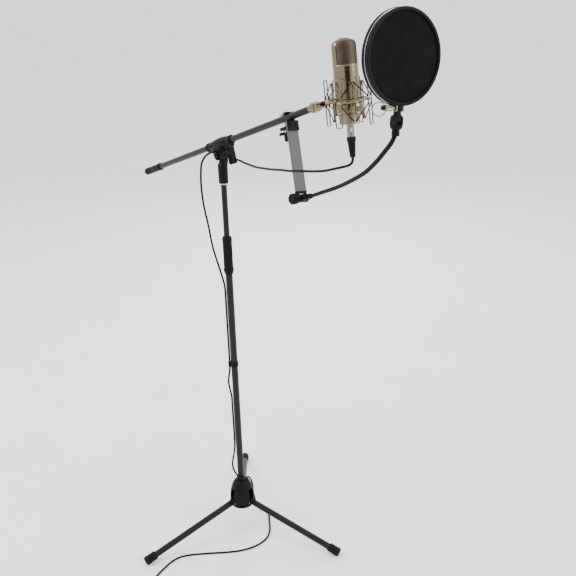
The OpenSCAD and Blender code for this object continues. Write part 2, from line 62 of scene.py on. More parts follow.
cameraSetup = {
    "location": (1.5873, -1.1020, 1.6641),
    "right": (0.6452, 0.7636, -0.0235),
    "up": (-0.2915, 0.2745, 0.9163),
    "lens": 46.73,
    "sensor": 36,
    "clip": (0.05, 300),
}
studio = {
    "floorSize": 160,
    "floorColour": (0.90, 0.895, 0.875),
    "worldColour": (0.93, 0.96, 1.0),
    "worldStrength": 1.8,
    # each soft box: place, what it looks at, width, height, watts
    "boxes": [
        ((-1.6, -2.6, 3.2), (0.1, 0, 1.0), 2.0, 2.0, 125),
        ((2.9, 1.6, 2.9), (0.2, 0, 1.1), 1.4, 2.4, 90),
        ((-2.2, 2.4, 2.4), (0.2, 0, 1.0), 1.6, 2.0, 70),
    ],
    # dark card beside the camera, which metal mirrors as a dark band
    "cardAt": (2.6, -2.1, 1.75),
    "cardFaces": (0.3, 0, 1.3),
    "cardSize": (1.15, 2.8),
}


def lookAt(place, target):
    return (Vector(target) - Vector(place)).to_track_quat("-Z", "Y").to_matrix().to_4x4()


def makeCamera(setup):
    data = bpy.data.cameras.new("camera")
    data.lens, data.sensor_width = setup["lens"], setup["sensor"]
    data.clip_start, data.clip_end = setup["clip"]
    camera = bpy.data.objects.new("camera", data)
    scene.collection.objects.link(camera)
    right, up = Vector(setup["right"]).normalized(), Vector(setup["up"]).normalized()
    turn = Matrix((right, up, right.cross(up))).transposed().to_4x4()
    camera.matrix_world = Matrix.Translation(setup["location"]) @ turn
    scene.camera = camera


def makePlane(name, size, mat):
    bpy.ops.mesh.primitive_plane_add(size=size)
    plane = bpy.context.object
    plane.name = name
    plane.data.materials.append(mat)
    return plane


def makeStudio(setup):
    scene.world = bpy.data.worlds.new("studio")
    scene.world.use_nodes = True
    sky = scene.world.node_tree.nodes["Background"]
    sky.inputs["Color"].default_value = (*setup["worldColour"], 1)
    sky.inputs["Strength"].default_value = setup["worldStrength"]
    for i, (place, target, width, height, watts) in enumerate(setup["boxes"]):
        light = bpy.data.lights.new(f"softBox{i}", "AREA")
        light.shape = "RECTANGLE"
        light.size, light.size_y, light.energy = width, height, watts
        lamp = bpy.data.objects.new(f"softBox{i}", light)
        scene.collection.objects.link(lamp)
        lamp.matrix_world = Matrix.Translation(place) @ lookAt(place, target)
    makePlane("floor", setup["floorSize"], floorPaint(setup["floorColour"]))
    card = makePlane("darkCard", 1, newMaterial("cardBlack", (0.01, 0.01, 0.01), 0.9)[0])
    card.matrix_world = (Matrix.Translation(setup["cardAt"]) @ lookAt(setup["cardAt"], setup["cardFaces"])
                         @ Matrix.Diagonal((*setup["cardSize"], 1, 1)))
    card.visible_camera = False


def feed(tree, node, values):
    # sets each named socket, or links it where the value is another node's output
    for socket, value in values.items():
        if isinstance(value, bpy.types.NodeSocket):
            tree.links.new(value, node.inputs[socket])
        else:
            node.inputs[socket].default_value = value
    return node


def addNode(tree, kind, values):
    return feed(tree, tree.nodes.new("ShaderNode" + kind), values)


def newMaterial(name, colour, roughness, metallic=0.0):
    mat = bpy.data.materials.new(name)
    mat.use_nodes = True
    tree = mat.node_tree
    shader = feed(tree, tree.nodes["Principled BSDF"],
                  {"Base Color": (*colour, 1), "Roughness": roughness, "Metallic": metallic})
    return mat, tree, shader


def objectCoords(tree, stretch=(1, 1, 1)):
    coords = tree.nodes.new("ShaderNodeTexCoord").outputs["Object"]
    return addNode(tree, "Mapping", {"Scale": stretch, "Vector": coords}).outputs["Vector"]


def noise(tree, vector, scale, detail=3.0, roughness=0.55):
    return addNode(tree, "TexNoise", {"Scale": scale, "Detail": detail, "Roughness": roughness,
                                      "Vector": vector}).outputs["Fac"]


def remap(tree, value, low, high, start=0.3, end=0.7):
    return addNode(tree, "MapRange", {"From Min": start, "From Max": end, "To Min": low, "To Max": high,
                                      "Value": value}).outputs["Result"]


def mixColours(tree, factor, first, second):
    node = addNode(tree, "ValToRGB", {"Fac": factor})
    for stop, at, colour in zip(node.color_ramp.elements, (0.3, 0.7), (first, second)):
        stop.position, stop.color = at, (*colour, 1)
    return node.outputs["Color"]


def bump(tree, shader, height, distance, strength=1.0, under=None):
    values = {"Distance": distance, "Strength": strength, "Height": height}
    if under:
        values["Normal"] = under
    normal = addNode(tree, "Bump", values).outputs["Normal"]
    tree.links.new(normal, shader.inputs["Normal"])
    return normal


def shade(colour, gain, lift=0.0):
    return tuple(c * gain + lift for c in colour)


def floorPaint(colour):
    mat, tree, shader = newMaterial("floorPaint", colour, 0.75)
    grain = noise(tree, objectCoords(tree), 3.0, 4)
    feed(tree, shader, {"Base Color": mixColours(tree, grain, shade(colour, 0.975), colour)})
    return mat


def powderCoat(name, colour, roughness, grain, depth, gloss=0.08):
    # sprayed coat: fine orange peel, cloudy gloss, a trace of handling wear
    mat, tree, shader = newMaterial(name, colour, roughness)
    coords = objectCoords(tree)
    cloud, rubbed = noise(tree, coords, 22, 4), noise(tree, coords, 260, 5, 0.7)
    feed(tree, shader, {"Base Color": mixColours(tree, rubbed, colour, shade(colour, 1.3, 0.002)),
                        "Roughness": remap(tree, cloud, roughness - 0.07, roughness + 0.09),
                        "Specular IOR Level": gloss})
    bump(tree, shader, noise(tree, coords, grain, 2), depth, 0.6)
    return mat


def mouldedPlastic(name, colour, roughness, grain=2600, gloss=0.08):
    # spark-eroded mould texture over a slightly uneven skin
    mat, tree, shader = newMaterial(name, colour, roughness)
    coords = objectCoords(tree)
    cells = addNode(tree, "TexVoronoi", {"Scale": grain, "Vector": coords})
    skin = noise(tree, coords, 90, 3)
    feed(tree, shader, {"Base Color": mixColours(tree, skin, colour, shade(colour, 1.25, 0.0015)),
                        "Roughness": remap(tree, skin, roughness - 0.06, roughness + 0.08),
                        "Specular IOR Level": gloss})
    uneven = bump(tree, shader, skin, 0.0004, 0.25)
    bump(tree, shader, cells.outputs["Distance"], 0.00008, 0.7, under=uneven)
    return mat


def rubberSkin(name, colour, roughness, grain):
    # matt rubber with dust in its pores
    mat, tree, shader = newMaterial(name, colour, roughness)
    coords = objectCoords(tree)
    dust = noise(tree, coords, 70, 6, 0.7)
    feed(tree, shader, {"Base Color": mixColours(tree, dust, colour, shade(colour, 1, 0.004)),
                        "Roughness": remap(tree, dust, roughness - 0.1, roughness + 0.1),
                        "Specular IOR Level": 0.12})
    bump(tree, shader, noise(tree, coords, grain, 4), 0.00012, 0.6)
    return mat


def brushedMetal(name, colour, roughness, stretch, spread=0.04):
    # fine satin scratches along one way, slightly cloudy tint
    mat, tree, shader = newMaterial(name, colour, roughness, 1.0)
    scratch = noise(tree, objectCoords(tree, stretch), 1.0, 4, 0.6)
    cloud = noise(tree, objectCoords(tree), 30, 3)
    feed(tree, shader, {"Base Color": mixColours(tree, cloud, shade(colour, 0.9), colour),
                        "Roughness": remap(tree, scratch, roughness - spread, roughness + spread),
                        "Anisotropic": 0.35})
    bump(tree, shader, scratch, 0.000004, 0.12)
    return mat


def wovenFabric(name, colour, thread, roughness, depth, contrast=2.2):
    # over and under threads on two crossing waves
    mat, tree, shader = newMaterial(name, colour, roughness)
    coords = objectCoords(tree)
    waves = []
    for direction in ("Y", "Z"):
        wave = addNode(tree, "TexWave", {"Scale": 1 / (thread * 20) * math.pi / 2, "Distortion": 0.4,
                                         "Vector": coords})
        wave.bands_direction, wave.wave_profile = direction, "SIN"
        waves.append(wave.outputs["Fac"])
    cross = addNode(tree, "Math", {0: waves[0], 1: waves[1]})
    cross.operation = "MULTIPLY"
    cloud = noise(tree, objectCoords(tree), 40, 4)
    both = addNode(tree, "Math", {0: remap(tree, cross.outputs[0], 0, 0.6, 0, 1),
                                  1: remap(tree, cloud, 0, 0.4)})
    both.operation = "ADD"
    lighter = shade(colour, contrast, 0.0015)
    feed(tree, shader, {"Base Color": mixColours(tree, both.outputs[0], colour, lighter),
                        "Specular IOR Level": 0.1})
    bump(tree, shader, cross.outputs[0], depth, 0.8)
    return mat


# each slot's recipe: how it is made, its colour, its roughness and the size of its detail
recipes = {
    "moulded_black": (powderCoat, (0.0026, 0.0031, 0.0027), 0.46, 1300, 0.00012),
    "cast_black": (powderCoat, (0.0026, 0.0031, 0.0026), 0.42, 1500, 0.0001),
    "clamp_plastic": (mouldedPlastic, (0.0026, 0.0030, 0.0028), 0.42),
    "black_tube": (powderCoat, (0.0032, 0.0050, 0.0034), 0.38, 1100, 0.00005, 0.18),
    "rubber": (rubberSkin, (0.0032, 0.0032, 0.0035), 0.66, 1700),
    "zinc": (brushedMetal, (0.66, 0.66, 0.64), 0.30, (600, 600, 60)),
    "clip_plastic": (mouldedPlastic, (0.0026, 0.0028, 0.0029), 0.48),
    "grip_plastic": (mouldedPlastic, (0.0028, 0.0031, 0.0032), 0.44, 1900),
    "brass_collet": (brushedMetal, (0.62, 0.48, 0.22), 0.30, (80, 80, 700)),
    "champagne": (brushedMetal, (0.20, 0.163, 0.094), 0.21, (60, 60, 1500)),
    "mic_alloy": (brushedMetal, (0.265, 0.230, 0.155), 0.24, (80, 80, 1300)),
    "grille": (brushedMetal, (0.135, 0.108, 0.078), 0.36, (900, 900, 900)),
    "elastic": (wovenFabric, (0.006, 0.006, 0.0065), 0.0004, 0.8, 0.0001),
    "grey_bar": (powderCoat, (0.068, 0.066, 0.064), 0.48, 700, 0.00006, 0.25),
    "neck_sleeve": (powderCoat, (0.0026, 0.0029, 0.0030), 0.42, 900, 0.00008),
    "hoop_plastic": (mouldedPlastic, (0.0026, 0.0028, 0.0052), 0.46),
    "pop_fabric": (wovenFabric, (0.0020, 0.0026, 0.0023), 0.0009, 0.9, 0.0002, 2.6),
    "cable_jacket": (rubberSkin, (0.0028, 0.0028, 0.0036), 0.52, 2400),
}
finishes = {}


def finish(slot):
    if slot not in finishes:
        make, *recipe = recipes[slot]
        finishes[slot] = make(slot + "Finish", *recipe)
    return finishes[slot]


def axesAt(origin, x, y):
    x = Vector(x).normalized()
    z = x.cross(Vector(y)).normalized()
    turn = Matrix((x, z.cross(x), z)).transposed().to_4x4()
    return Matrix.Translation(origin) @ turn @ Matrix.Scale(mm, 4)


def middle(node):
    low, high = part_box(node)
    return (low + high) / 2


def jointAt(name):
    return Vector(joints[name]["pos_m"])


def jointAxis(name):
    return Vector(joints[name]["axis"])


# frames in which the pieces are drawn in millimetres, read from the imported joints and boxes
# from the body's middle to its box's, and from the boom's axis down to the neck's pivot
bodyBoxShift, neckPivotBelow = 13.1, 186
poleFrame = Matrix.Scale(mm, 4)
boomWay = jointAxis("boom_slide")
boomMiddle = middle("boom_tube")
boomFrame = axesAt(boomMiddle - boomWay * (boomMiddle.x / boomWay.x), boomWay, (0, 1, 0))
tiltFrame = axesAt(jointAt("boom_tilt"), (1, 0, 0), (0, 1, 0))
swivelFrame = axesAt(jointAt("mount_tilt"), boomWay, (0, 1, 0))
micAxis = (middle("mic_body") - middle("cable_socket")).normalized()
micCentre = middle("mic_body") - micAxis * bodyBoxShift * mm
micFrame = axesAt(micCentre, Vector((0, 1, 0)).cross(micAxis), (0, 1, 0))
barFrame = axesAt(jointAt("neck_knob_twist"), boomWay, jointAxis("neck_knob_twist"))
barTop = barFrame @ Matrix.Translation((0, 0, neckPivotBelow))
hoopSide = jointAxis("pop_screw_turn")
hoopMiddle = middle("pop_hoops")
hoopFrame = axesAt(hoopMiddle, hoopSide.cross(hoopMiddle - jointAt("pop_tilt")), hoopSide)
plugWay = (middle("xlr_plug") - middle("plug_boot")).normalized()
plugFrame = axesAt(middle("plug_boot"), plugWay.cross(Vector((0, 0, 1))), (0, 0, 1))


def legFrame(letter):
    hinge = jointAt(f"leg_{letter}_fold")
    return axesAt(hinge, middle(f"leg_tube_{letter}") - hinge, -jointAxis(f"leg_{letter}_fold"))


def reachAlong(node, where):
    # from where to where a solid lies along a frame's X, from its own vertices
    back = where.inverted()
    reach = [(back @ v.co).x for v in frame["nodes"][node].data.vertices]
    return min(reach), max(reach)


def newObject(name, verts, faces):
    mesh = bpy.data.meshes.new(name)
    mesh.from_pydata([tuple(v) for v in verts], [], faces)
    obj = bpy.data.objects.new(name, mesh)
    scene.collection.objects.link(obj)
    return obj


def cleaned(obj, apart=0.001, bevel=None, sharp=32):
    # merges doubled points, turns the faces outwards and rounds the sharp edges if a bevel is given
    build = bmesh.new()
    build.from_mesh(obj.data)
    bmesh.ops.remove_doubles(build, verts=build.verts, dist=apart)
    bmesh.ops.recalc_face_normals(build, faces=build.faces)
    if bevel:
        edges = [e for e in build.edges if len(e.link_faces) == 2 and e.calc_face_angle() > math.radians(sharp)]
        bmesh.ops.bevel(build, geom=edges, offset=bevel[0], segments=bevel[1], profile=0.6, affect="EDGES",
                        clamp_overlap=True)
    build.to_mesh(obj.data)
    build.free()
    return obj


def smoothed(obj, sharpAngle):
    for polygon in obj.data.polygons:
        polygon.use_smooth = True
    obj.data.set_sharp_from_angle(angle=math.radians(sharpAngle))


def place(obj, where, body, slot, replaced=(), sharpAngle=40):
    # settles a piece in the shared frame, gives it its finish and its body
    obj.data.transform(where)
    if where.determinant() < 0:
        obj.data.flip_normals()
    obj.data.materials.clear()
    obj.data.materials.append(finish(slot))
    smoothed(obj, sharpAngle)
    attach(obj, body)
    if replaced:
        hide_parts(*replaced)
    return obj


def lathe(name, profile, sides=64, shape=None, closed=False, at=None):
    # profile is (radius, height) pairs; shape(angle, radius, height) may change the radius
    verts, faces, n = [], [], len(profile)
    for i in range(sides):
        angle = 2 * math.pi * i / sides
        for radius, height in profile:
            r = shape(angle, radius, height) if shape else radius
            verts.append((r * math.cos(angle), r * math.sin(angle), height))
        k = (i + 1) % sides
        faces += [(i * n + j, k * n + j, k * n + (j + 1) % n, i * n + (j + 1) % n)
                  for j in range(n if closed else n - 1)]
    obj = cleaned(newObject(name, verts, faces), 0.0005)
    return obj if at is None else moved(obj, at)


def smoothLine(points, steps):
    # curve through every point, the same one that the solids follow
    points = [Vector(p) for p in points]
    line = []
    for i in range(len(points) - 1):
        a, b = points[max(i - 1, 0)], points[i]
        c, d = points[i + 1], points[min(i + 2, len(points) - 1)]
        for t in (k / steps for k in range(steps)):
            line.append(0.5 * (2 * b + t * (c - a) + t * t * (2 * a - 5 * b + 4 * c - d)
                               + t ** 3 * (3 * b - a - 3 * c + d)))
    return line + [points[-1]]


def evenLine(points, step):
    # the same line with its points a fixed distance apart
    out = [points[0].copy()]
    left = step
    for a, b in zip(points, points[1:]):
        span = (b - a).length
        at = left
        while at <= span:
            out.append(a.lerp(b, at / span))
            at += step
        left = at - span
    if (out[-1] - points[-1]).length > step * 0.3:
        out.append(points[-1].copy())
    return out


def sweep(name, line, radius, sides=12, closed=False):
    # tube along a line; radius is a number or a function of the distance from the start
    line = [Vector(p) for p in line]
    count = len(line)
    normal, verts, distance = None, [], 0.0
    for i, point in enumerate(line):
        before = line[i - 1] if (i or closed) else point
        after = line[(i + 1) % count] if (i < count - 1 or closed) else point
        way = (after - before).normalized()
        if normal is None:
            normal = Vector((0.3, 1, 0.2)) if abs(way.y) < 0.9 else Vector((1, 0, 0))
        normal = (normal - way * normal.dot(way)).normalized()
        side = way.cross(normal)
        r = radius(distance) if callable(radius) else radius
        for k in range(sides):
            angle = 2 * math.pi * k / sides
            verts.append(point + r * (math.cos(angle) * normal + math.sin(angle) * side))
        if i < count - 1:
            distance += (line[i + 1] - point).length
    faces = []
    for i in range(count if closed else count - 1):
        a, b = i * sides, ((i + 1) % count) * sides
        faces += [(a + k, a + (k + 1) % sides, b + (k + 1) % sides, b + k) for k in range(sides)]
    if not closed:
        faces.append(tuple(reversed(range(sides))))
        faces.append(tuple((count - 1) * sides + k for k in range(sides)))
    return newObject(name, verts, faces)


def block(name, low, high, edge=0.6, segments=3):
    verts = [(x, y, z) for x in (low[0], high[0]) for y in (low[1], high[1]) for z in (low[2], high[2])]
    faces = [(0, 1, 3, 2), (4, 6, 7, 5), (0, 4, 5, 1), (2, 3, 7, 6), (0, 2, 6, 4), (1, 5, 7, 3)]
    return cleaned(newObject(name, verts, faces), bevel=(edge, segments))


def slab(name, outline, start, end, edge=0.6, segments=3):
    # outline is (x, z) pairs; the slab runs along y from start to end
    n = len(outline)
    verts = [(x, start, z) for x, z in outline] + [(x, end, z) for x, z in outline]
    faces = [tuple(range(n)), tuple(reversed(range(n, 2 * n)))]
    faces += [(i, i + n, (i + 1) % n + n, (i + 1) % n) for i in range(n)]
    return cleaned(newObject(name, verts, faces), bevel=(edge, segments))


def circle(radius, count=48, centre=(0, 0), start=0, end=360):
    # points of a circle, or of an arc with both its ends
    angles = (math.radians(start + (end - start) * i / count)
              for i in range(count if abs(end - start) >= 360 else count + 1))
    return [(centre[0] + radius * math.cos(a), centre[1] + radius * math.sin(a)) for a in angles]


def joined(name, parts):
    # several meshes as one piece
    bpy.ops.object.select_all(action="DESELECT")
    for part in parts:
        part.select_set(True)
    bpy.context.view_layer.objects.active = parts[0]
    bpy.ops.object.join()
    parts[0].name = parts[0].data.name = name
    return parts[0]


def moved(obj, matrix):
    obj.data.transform(matrix)
    return obj


def turnTo(axis):
    # local Z laid along an axis of the frame
    return Vector((0, 0, 1)).rotation_difference(Vector(axis)).to_matrix().to_4x4()


def shift(x, y, z):
    return Matrix.Translation((x, y, z))


def spin(angle, axis="Z"):
    return Matrix.Rotation(math.radians(angle), 4, axis)


alongX = turnTo((1, 0, 0))
alongY = turnTo((0, 1, 0))
againstY = turnTo((0, -1, 0))


def makeBoot(name, where, body, start, end, wide, narrow, replaced, segments=8):
    # strain relief: smooth collar, then slotted segments that taper to the cable
    length = end - start
    profile = [(0, start), (wide - 0.8, start), (wide, start + 0.8), (wide + 0.1, start + 5),
               (wide, start + 9)]
    for i in range(segments):
        a, b, c = (start + 10 + (length - 12) * (i + part) / segments for part in (0, 0.62, 0.99))
        ra, rb = (wide + (narrow - wide) * (z - start) / length for z in (a, b))
        profile += [(ra, a), (rb, b), (rb - 1.1, b + 0.25), (rb - 1.1, c - 0.2)]
    profile += [(narrow + 0.3, end - 2), (narrow, end - 0.6), (narrow - 0.8, end), (3.0, end)]
    return place(lathe(name, profile, 64), where, body, "rubber", replaced)


# one microphone cable, given stretch by stretch in millimetres
cable = {
    "diameter": 0.006,
    "micRoute": [
        (481, 0, 1283), (482, -2, 1274), (478, -7, 1267), (466, -14, 1262), (450, -23, 1257),
        (428, -32, 1250), (400, -39, 1245), (360, -43, 1239), (320, -39, 1231), (278, -30, 1224)],
    "headRoute": [
        (278, -30, 1224), (228, -19, 1214), (178, -8, 1206), (140, 2, 1200), (103, 12, 1197),
        (55, 28, 1192), (25, 40, 1189), (0, 45, 1188), (-20, 38, 1194), (-36, 25, 1202), (-49, 12, 1206),
        (-60, 3, 1202)],
    "dropRoute": [
        (-60, 3, 1202), (-70, -4, 1194), (-78, -9, 1181), (-83, -13, 1163), (-86, -15, 1118),
        (-83, -15, 1071), (-78, -14, 1040), (-70, -13, 1010), (-54, -13, 945), (-44, -13, 920),
        (-33, -13, 898), (-22, -13.5, 878)],
    "poleRoute": [
        (-22, -13.5, 878), (-14, -14, 862), (-9, -12.5, 845), (-7.8, -11.1, 820), (-7.8, -11.1, 760),
        (-7.8, -11.1, 640), (-7.8, -11.1, 588), (-8.2, -11.8, 568), (-11.5, -16.4, 530), (-10, -14.4, 500),
        (-8, -11.5, 478), (-7.8, -11.1, 440), (-7.8, -11.1, 310), (-10, -14, 272), (-13, -18.5, 245),
        (-14, -19.5, 225), (-10, -18, 207), (-2, -14.8, 195), (8, -12.3, 187), (14, -5, 182),
        (14.5, 5, 179), (11, 15, 176), (6, 24, 171), (5, 32.5, 157), (4, 38.5, 137), (3, 42, 100),
        (0, 49, 68), (-4, 56, 40), (-8, 65, 18), (-8, 77, 5.5), (-3, 86, 3), (7, 91, 3), (22, 86, 3),
        (45, 70, 3), (70, 52, 3), (90, 36, 3), (108, 12, 3), (115, -12, 3), (114, -45, 3), (102, -83, 3),
        (80, -120, 3), (48, -163, 3), (18, -205, 3), (0, -240, 3), (-2, -270, 3), (6, -303, 3),
        (18, -337, 3), (33, -370, 3), (48, -397, 3), (66, -420, 3)],
    # spare length: each turn's radius and height in the bundle, and how much of the last turn there is
    "coilAt": (0.093, -0.391),
    "coilPlan": [(0.039, 0.003), (0.033, 0.003), (0.027, 0.003), (0.027, 0.009),
                 (0.027, 0.015), (0.033, 0.015), (0.033, 0.009), (0.039, 0.009)],
    "lastTurn": 0.33,
    "coilStart": -133,
    "tailTurn": math.radians(75),
    "bootBack": 0.012,
    "handOvers": (1.165, 0.985),   # heights at which the drop is cut into its separate stretches
    "pointGap": 0.004,
    "pointsPerTurn": 24,
}


def lineLength(points):
    return sum((b - a).length for a, b in zip(points, points[1:]))


def inMetres(route):
    return [tuple(c / 1000 for c in point) for point in route]


def cordCurve(name, points, diameter):
    data = bpy.data.curves.new(name, "CURVE")
    data.dimensions = "3D"
    data.bevel_depth = diameter / 2
    data.bevel_resolution = 4
    data.use_fill_caps = True
    spline = data.splines.new("POLY")
    spline.points.add(len(points) - 1)
    for dot, point in zip(spline.points, points):
        dot.co = (*point, 1)
    obj = bpy.data.objects.new(name, data)
    scene.collection.objects.link(obj)
    data.materials.append(finish("cable_jacket"))
    return obj


def blendedLead(name, points, replaced):
    # a stretch of cable as one fixed mesh tube
    tube = sweep(name, points, cable["diameter"] / 2, 14)
    smoothed(tube, 60)
    tube.data.materials.append(finish("cable_jacket"))
    if replaced:
        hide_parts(replaced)
    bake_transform(tube)


def coilLine(setup):
    # every turn keeps its own place in the bundle and steps over to the next near its end
    x, y = setup["coilAt"]
    plan, per = setup["coilPlan"], setup["pointsPerTurn"]
    points = []
    total = (len(plan) - 1) * per + round(per * setup["lastTurn"])
    for i in range(1, total + 1):
        turn, part = divmod(i / per, 1)
        here = plan[int(turn)]
        after = plan[min(int(turn) + 1, len(plan) - 1)]
        t = max(0.0, (part - 0.8) / 0.2)
        t = t * t * (3 - 2 * t)
        radius = here[0] + (after[0] - here[0]) * t
        angle = math.radians(setup["coilStart"]) + 2 * math.pi * i / per
        points.append(Vector((x + radius * math.cos(angle), y + radius * math.sin(angle),
                              here[1] + (after[1] - here[1]) * t)))
    return points


def makeCables(setup):
    micRoute, headRoute, dropRoute, poleRoute = (
        inMetres(setup[name]) for name in ("micRoute", "headRoute", "dropRoute", "poleRoute"))
    mic, head, drop = (evenLine(smoothLine(route, 12), setup["pointGap"]) for route in (micRoute,
                                                                                        headRoute,
                                                                                        dropRoute))
    blendedLead("micLead", mic, "cable_mic")
    blendedLead("headLead", head, "cable_head")
    cuts = [min(range(len(drop)), key=lambda i: abs(drop[i].z - z)) for z in setup["handOvers"]]
    cuts = [0, *cuts, len(drop) - 1]
    for i, pair in enumerate((("clamp", "upper"), ("upper", "collet"), ("collet", "stand_base"))):
        part = drop[cuts[i]:cuts[i + 1] + 1]
        blendedLead(f"dropLead{i + 1}", part,
                    "cable_drop" if i == 0 else None)
    coil = coilLine(setup)
    tailWay = Vector((math.cos(setup["tailTurn"]), math.sin(setup["tailTurn"]), 0))
    tailEnd = middle("plug_boot") - tailWay * setup["bootBack"]
    points = smoothLine(poleRoute,
                        6) + coil + [coil[-1].lerp(tailEnd, t) for t in (0.2, 0.4, 0.6, 0.8, 1.0)]
    lead = cordCurve("poleLead", points, setup["diameter"])
    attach(lead, "stand_base")
    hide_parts("cable_pole", "cable_coil")
    tie = makeCoilTie(setup)
    boot = makeBoot("plugCableBoot", plugFrame, "stand_base", -17, 17, 9.3, 4.3, ["plug_boot"])
    print("cable stretches in metres:", *(round(lineLength(part), 3) for part in (mic, head, drop, points)))


coilTie = {"turn": 100, "inner": 23.8, "outer": 43.2, "top": 19.4, "width": 12, "thick": 1.2,
           "middle": (33, 9.5)}


def makeCoilTie(setup):
    # hook and loop strap wrapped round the bundle, one end lapped over the other
    t = coilTie
    inner, outer, top, (midX, midZ) = t["inner"], t["outer"], t["top"], t["middle"]
    loop = [(inner - 0.6, 0.8), (outer + 0.4, 0.8), (outer + 0.6, 9), (outer, top - 1.5), (midX, top + 0.2),
            (inner, top - 1.5), (inner - 0.8, 9)]
    ring = evenLine(smoothLine([(x, 0, z) for x, z in loop + loop[:1]], 6), 1.0)[:-1]
    verts, n = [], len(ring)
    for point in ring:
        out = (point - Vector((midX, 0, midZ))).normalized() * t["thick"]
        for y, d in ((-1, 0), (1, 0), (1, 1), (-1, 1)):
            verts.append(point - out * (1 - d) + Vector((0, y * t["width"] / 2, 0)))
    faces = [(i * 4 + k, ((i + 1) % n) * 4 + k, ((i + 1) % n) * 4 + (k + 1) % 4, i * 4 + (k + 1) % 4)
             for i in range(n) for k in range(4)]
    end = block("tieEnd", (30, -6, top + 0.1), (44, 6, top + 1.3), 0.5)
    strap = joined("coilTie", [cleaned(newObject("coilTie", verts, faces)), end])
    where = Matrix.Translation((*setup["coilAt"], 0)) @ spin(t["turn"]) @ Matrix.Scale(mm, 4)
    return place(strap, where, "stand_base", "elastic", ["coil_tie"])


makeCamera(cameraSetup)
makeStudio(studio)
makeCables(cable)
print("camera, studio and cables done")


# every solid that stays gets its finish
for nodeName, node in frame["nodes"].items():
    node.data.materials.clear()
    node.data.materials.append(finish(slotOfNode[nodeName]))


hubTrim = {"earRadius": 8.5, "earNear": 5.9, "earFar": 10.2, "earTop": 11.4, "earBack": -12, "rivet": 4.2}


def makeHubTrim(setup):
    # cheeks and rivet heads at each leg hinge, and a rolled collar where the pole enters the bell
    back, top, rivet = setup["earBack"], setup["earTop"], setup["rivet"]
    outline = circle(setup["earRadius"], 24, (0, 0), -90, 60) + [(-3, top), (back, top),
                                                                 (back, -setup["earRadius"])]
    for letter in "abc":
        leg, fold = legFrame(letter), f"leg_{letter}_fold"
        flat = axesAt(jointAt(fold), Vector((leg[0][0], leg[1][0], 0)), -jointAxis(fold))
        parts = []
        for side in (-1, 1):
            near, far = sorted((side * setup["earNear"], side * setup["earFar"]))
            parts.append(slab("ear", outline, near, far, 1.2))
            parts.append(lathe("rivet",
                               [(0, 0), (rivet, 0), (rivet, 0.5), (3.6, 1.4), (2.4, 2.0), (0, 2.2)], 32,
                               at=shift(0, side * setup["earFar"], 0) @ turnTo((0, side, 0))))
        place(joined(f"legEars{letter.upper()}", parts), flat, "stand_base", "moulded_black")
    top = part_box("hub")[1].z / mm
    collar = [(10.15, top - 3), (14.6, top - 3), (14.9, top - 1.4), (14.2, top + 0.6), (12.4, top + 1.6),
              (10.6, top + 1.6), (10.15, top + 0.8)]
    place(lathe("bellCollar", collar, 72, closed=True), poleFrame, "stand_base", "moulded_black")


foot = {"radius": 13.4, "length": 38, "legRadius": 9.75, "groove": 0.7, "grooves": 6, "pitch": 3.2,
        "nose": 5}


def makeFeet(setup):
    # rounded rubber boot with grip rings, flattened where it stands
    r, inner, nose = setup["radius"], setup["radius"] - setup["groove"], setup["nose"]
    for letter in "abc":
        where = legFrame(letter)
        end = reachAlong(f"leg_foot_{letter}", where)[1]
        start = end - setup["length"]
        profile = [(setup["legRadius"], start), (r - 2.6, start), (r - 1.6, start + 0.8),
                   (r - 1.0, start + 3),
                   (r, start + 4)]
        for i in range(setup["grooves"]):
            at = start + 7 + setup["pitch"] * i
            profile += [(r, at), (inner, at + 0.5), (inner, at + 1.3), (r, at + 1.8)]
        profile += circle(nose, 6, (r - nose, end - nose), 0, 90) + [(4, end), (0, end - 0.4)]
        boot = moved(lathe(f"footBoot{letter.upper()}", profile, 64, at=alongX), where)
        for vertex in boot.data.vertices:
            vertex.co.z = max(vertex.co.z, 0.0)
        place(boot, Matrix.Identity(4), f"leg_{letter}", "rubber", [f"leg_foot_{letter}"])


gripSleeve = {"ribs": 30, "ribDepth": 0.55, "ribsFrom": 15, "ribsTo": 18, "bore": 8.4, "mouth": 12.35}


def makeClutchGrip(setup):
    low, high = (corner.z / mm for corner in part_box("clutch_grip"))
    bore, mouth = setup["bore"], setup["mouth"]
    start, end = low + setup["ribsFrom"], high - setup["ribsTo"]

    def ribbed(angle, radius, height):
        if radius < 11 or not start < height < end:
            return radius
        fade = min(1, (height - start) / 4, (end - height) / 4)
        return radius - setup["ribDepth"] * (0.5 + 0.5 * math.cos(angle * setup["ribs"])) ** 2 * fade

    outer = [(13.0, low), (13.9, low + 0.5), (14.4, low + 1.5), (14.4, low + 5.5), (14.2, low + 7),
             (13.4, low + 10.5), (13.05, low + 13)]
    outer += [(13.0, low + 13 + (high - low - 29) * i / 24) for i in range(25)]
    outer += [(13.0, high - 15), (13.3, high - 13.6), (13.6, high - 12), (13.6, high - 5.4),
              (13.2, high - 3.6),
              (11.4, high - 0.6), (10.6, high), (bore, high), (bore, high - 8), (mouth, high - 8.4),
              (mouth, low)]
    place(lathe("clutchGripSleeve", outer, 240, ribbed, closed=True), poleFrame, "grip", "grip_plastic",
          ["clutch_grip"])


rearSleeve = {"rings": 7, "radius": 10.25, "depth": 0.5, "pitch": 4.5}


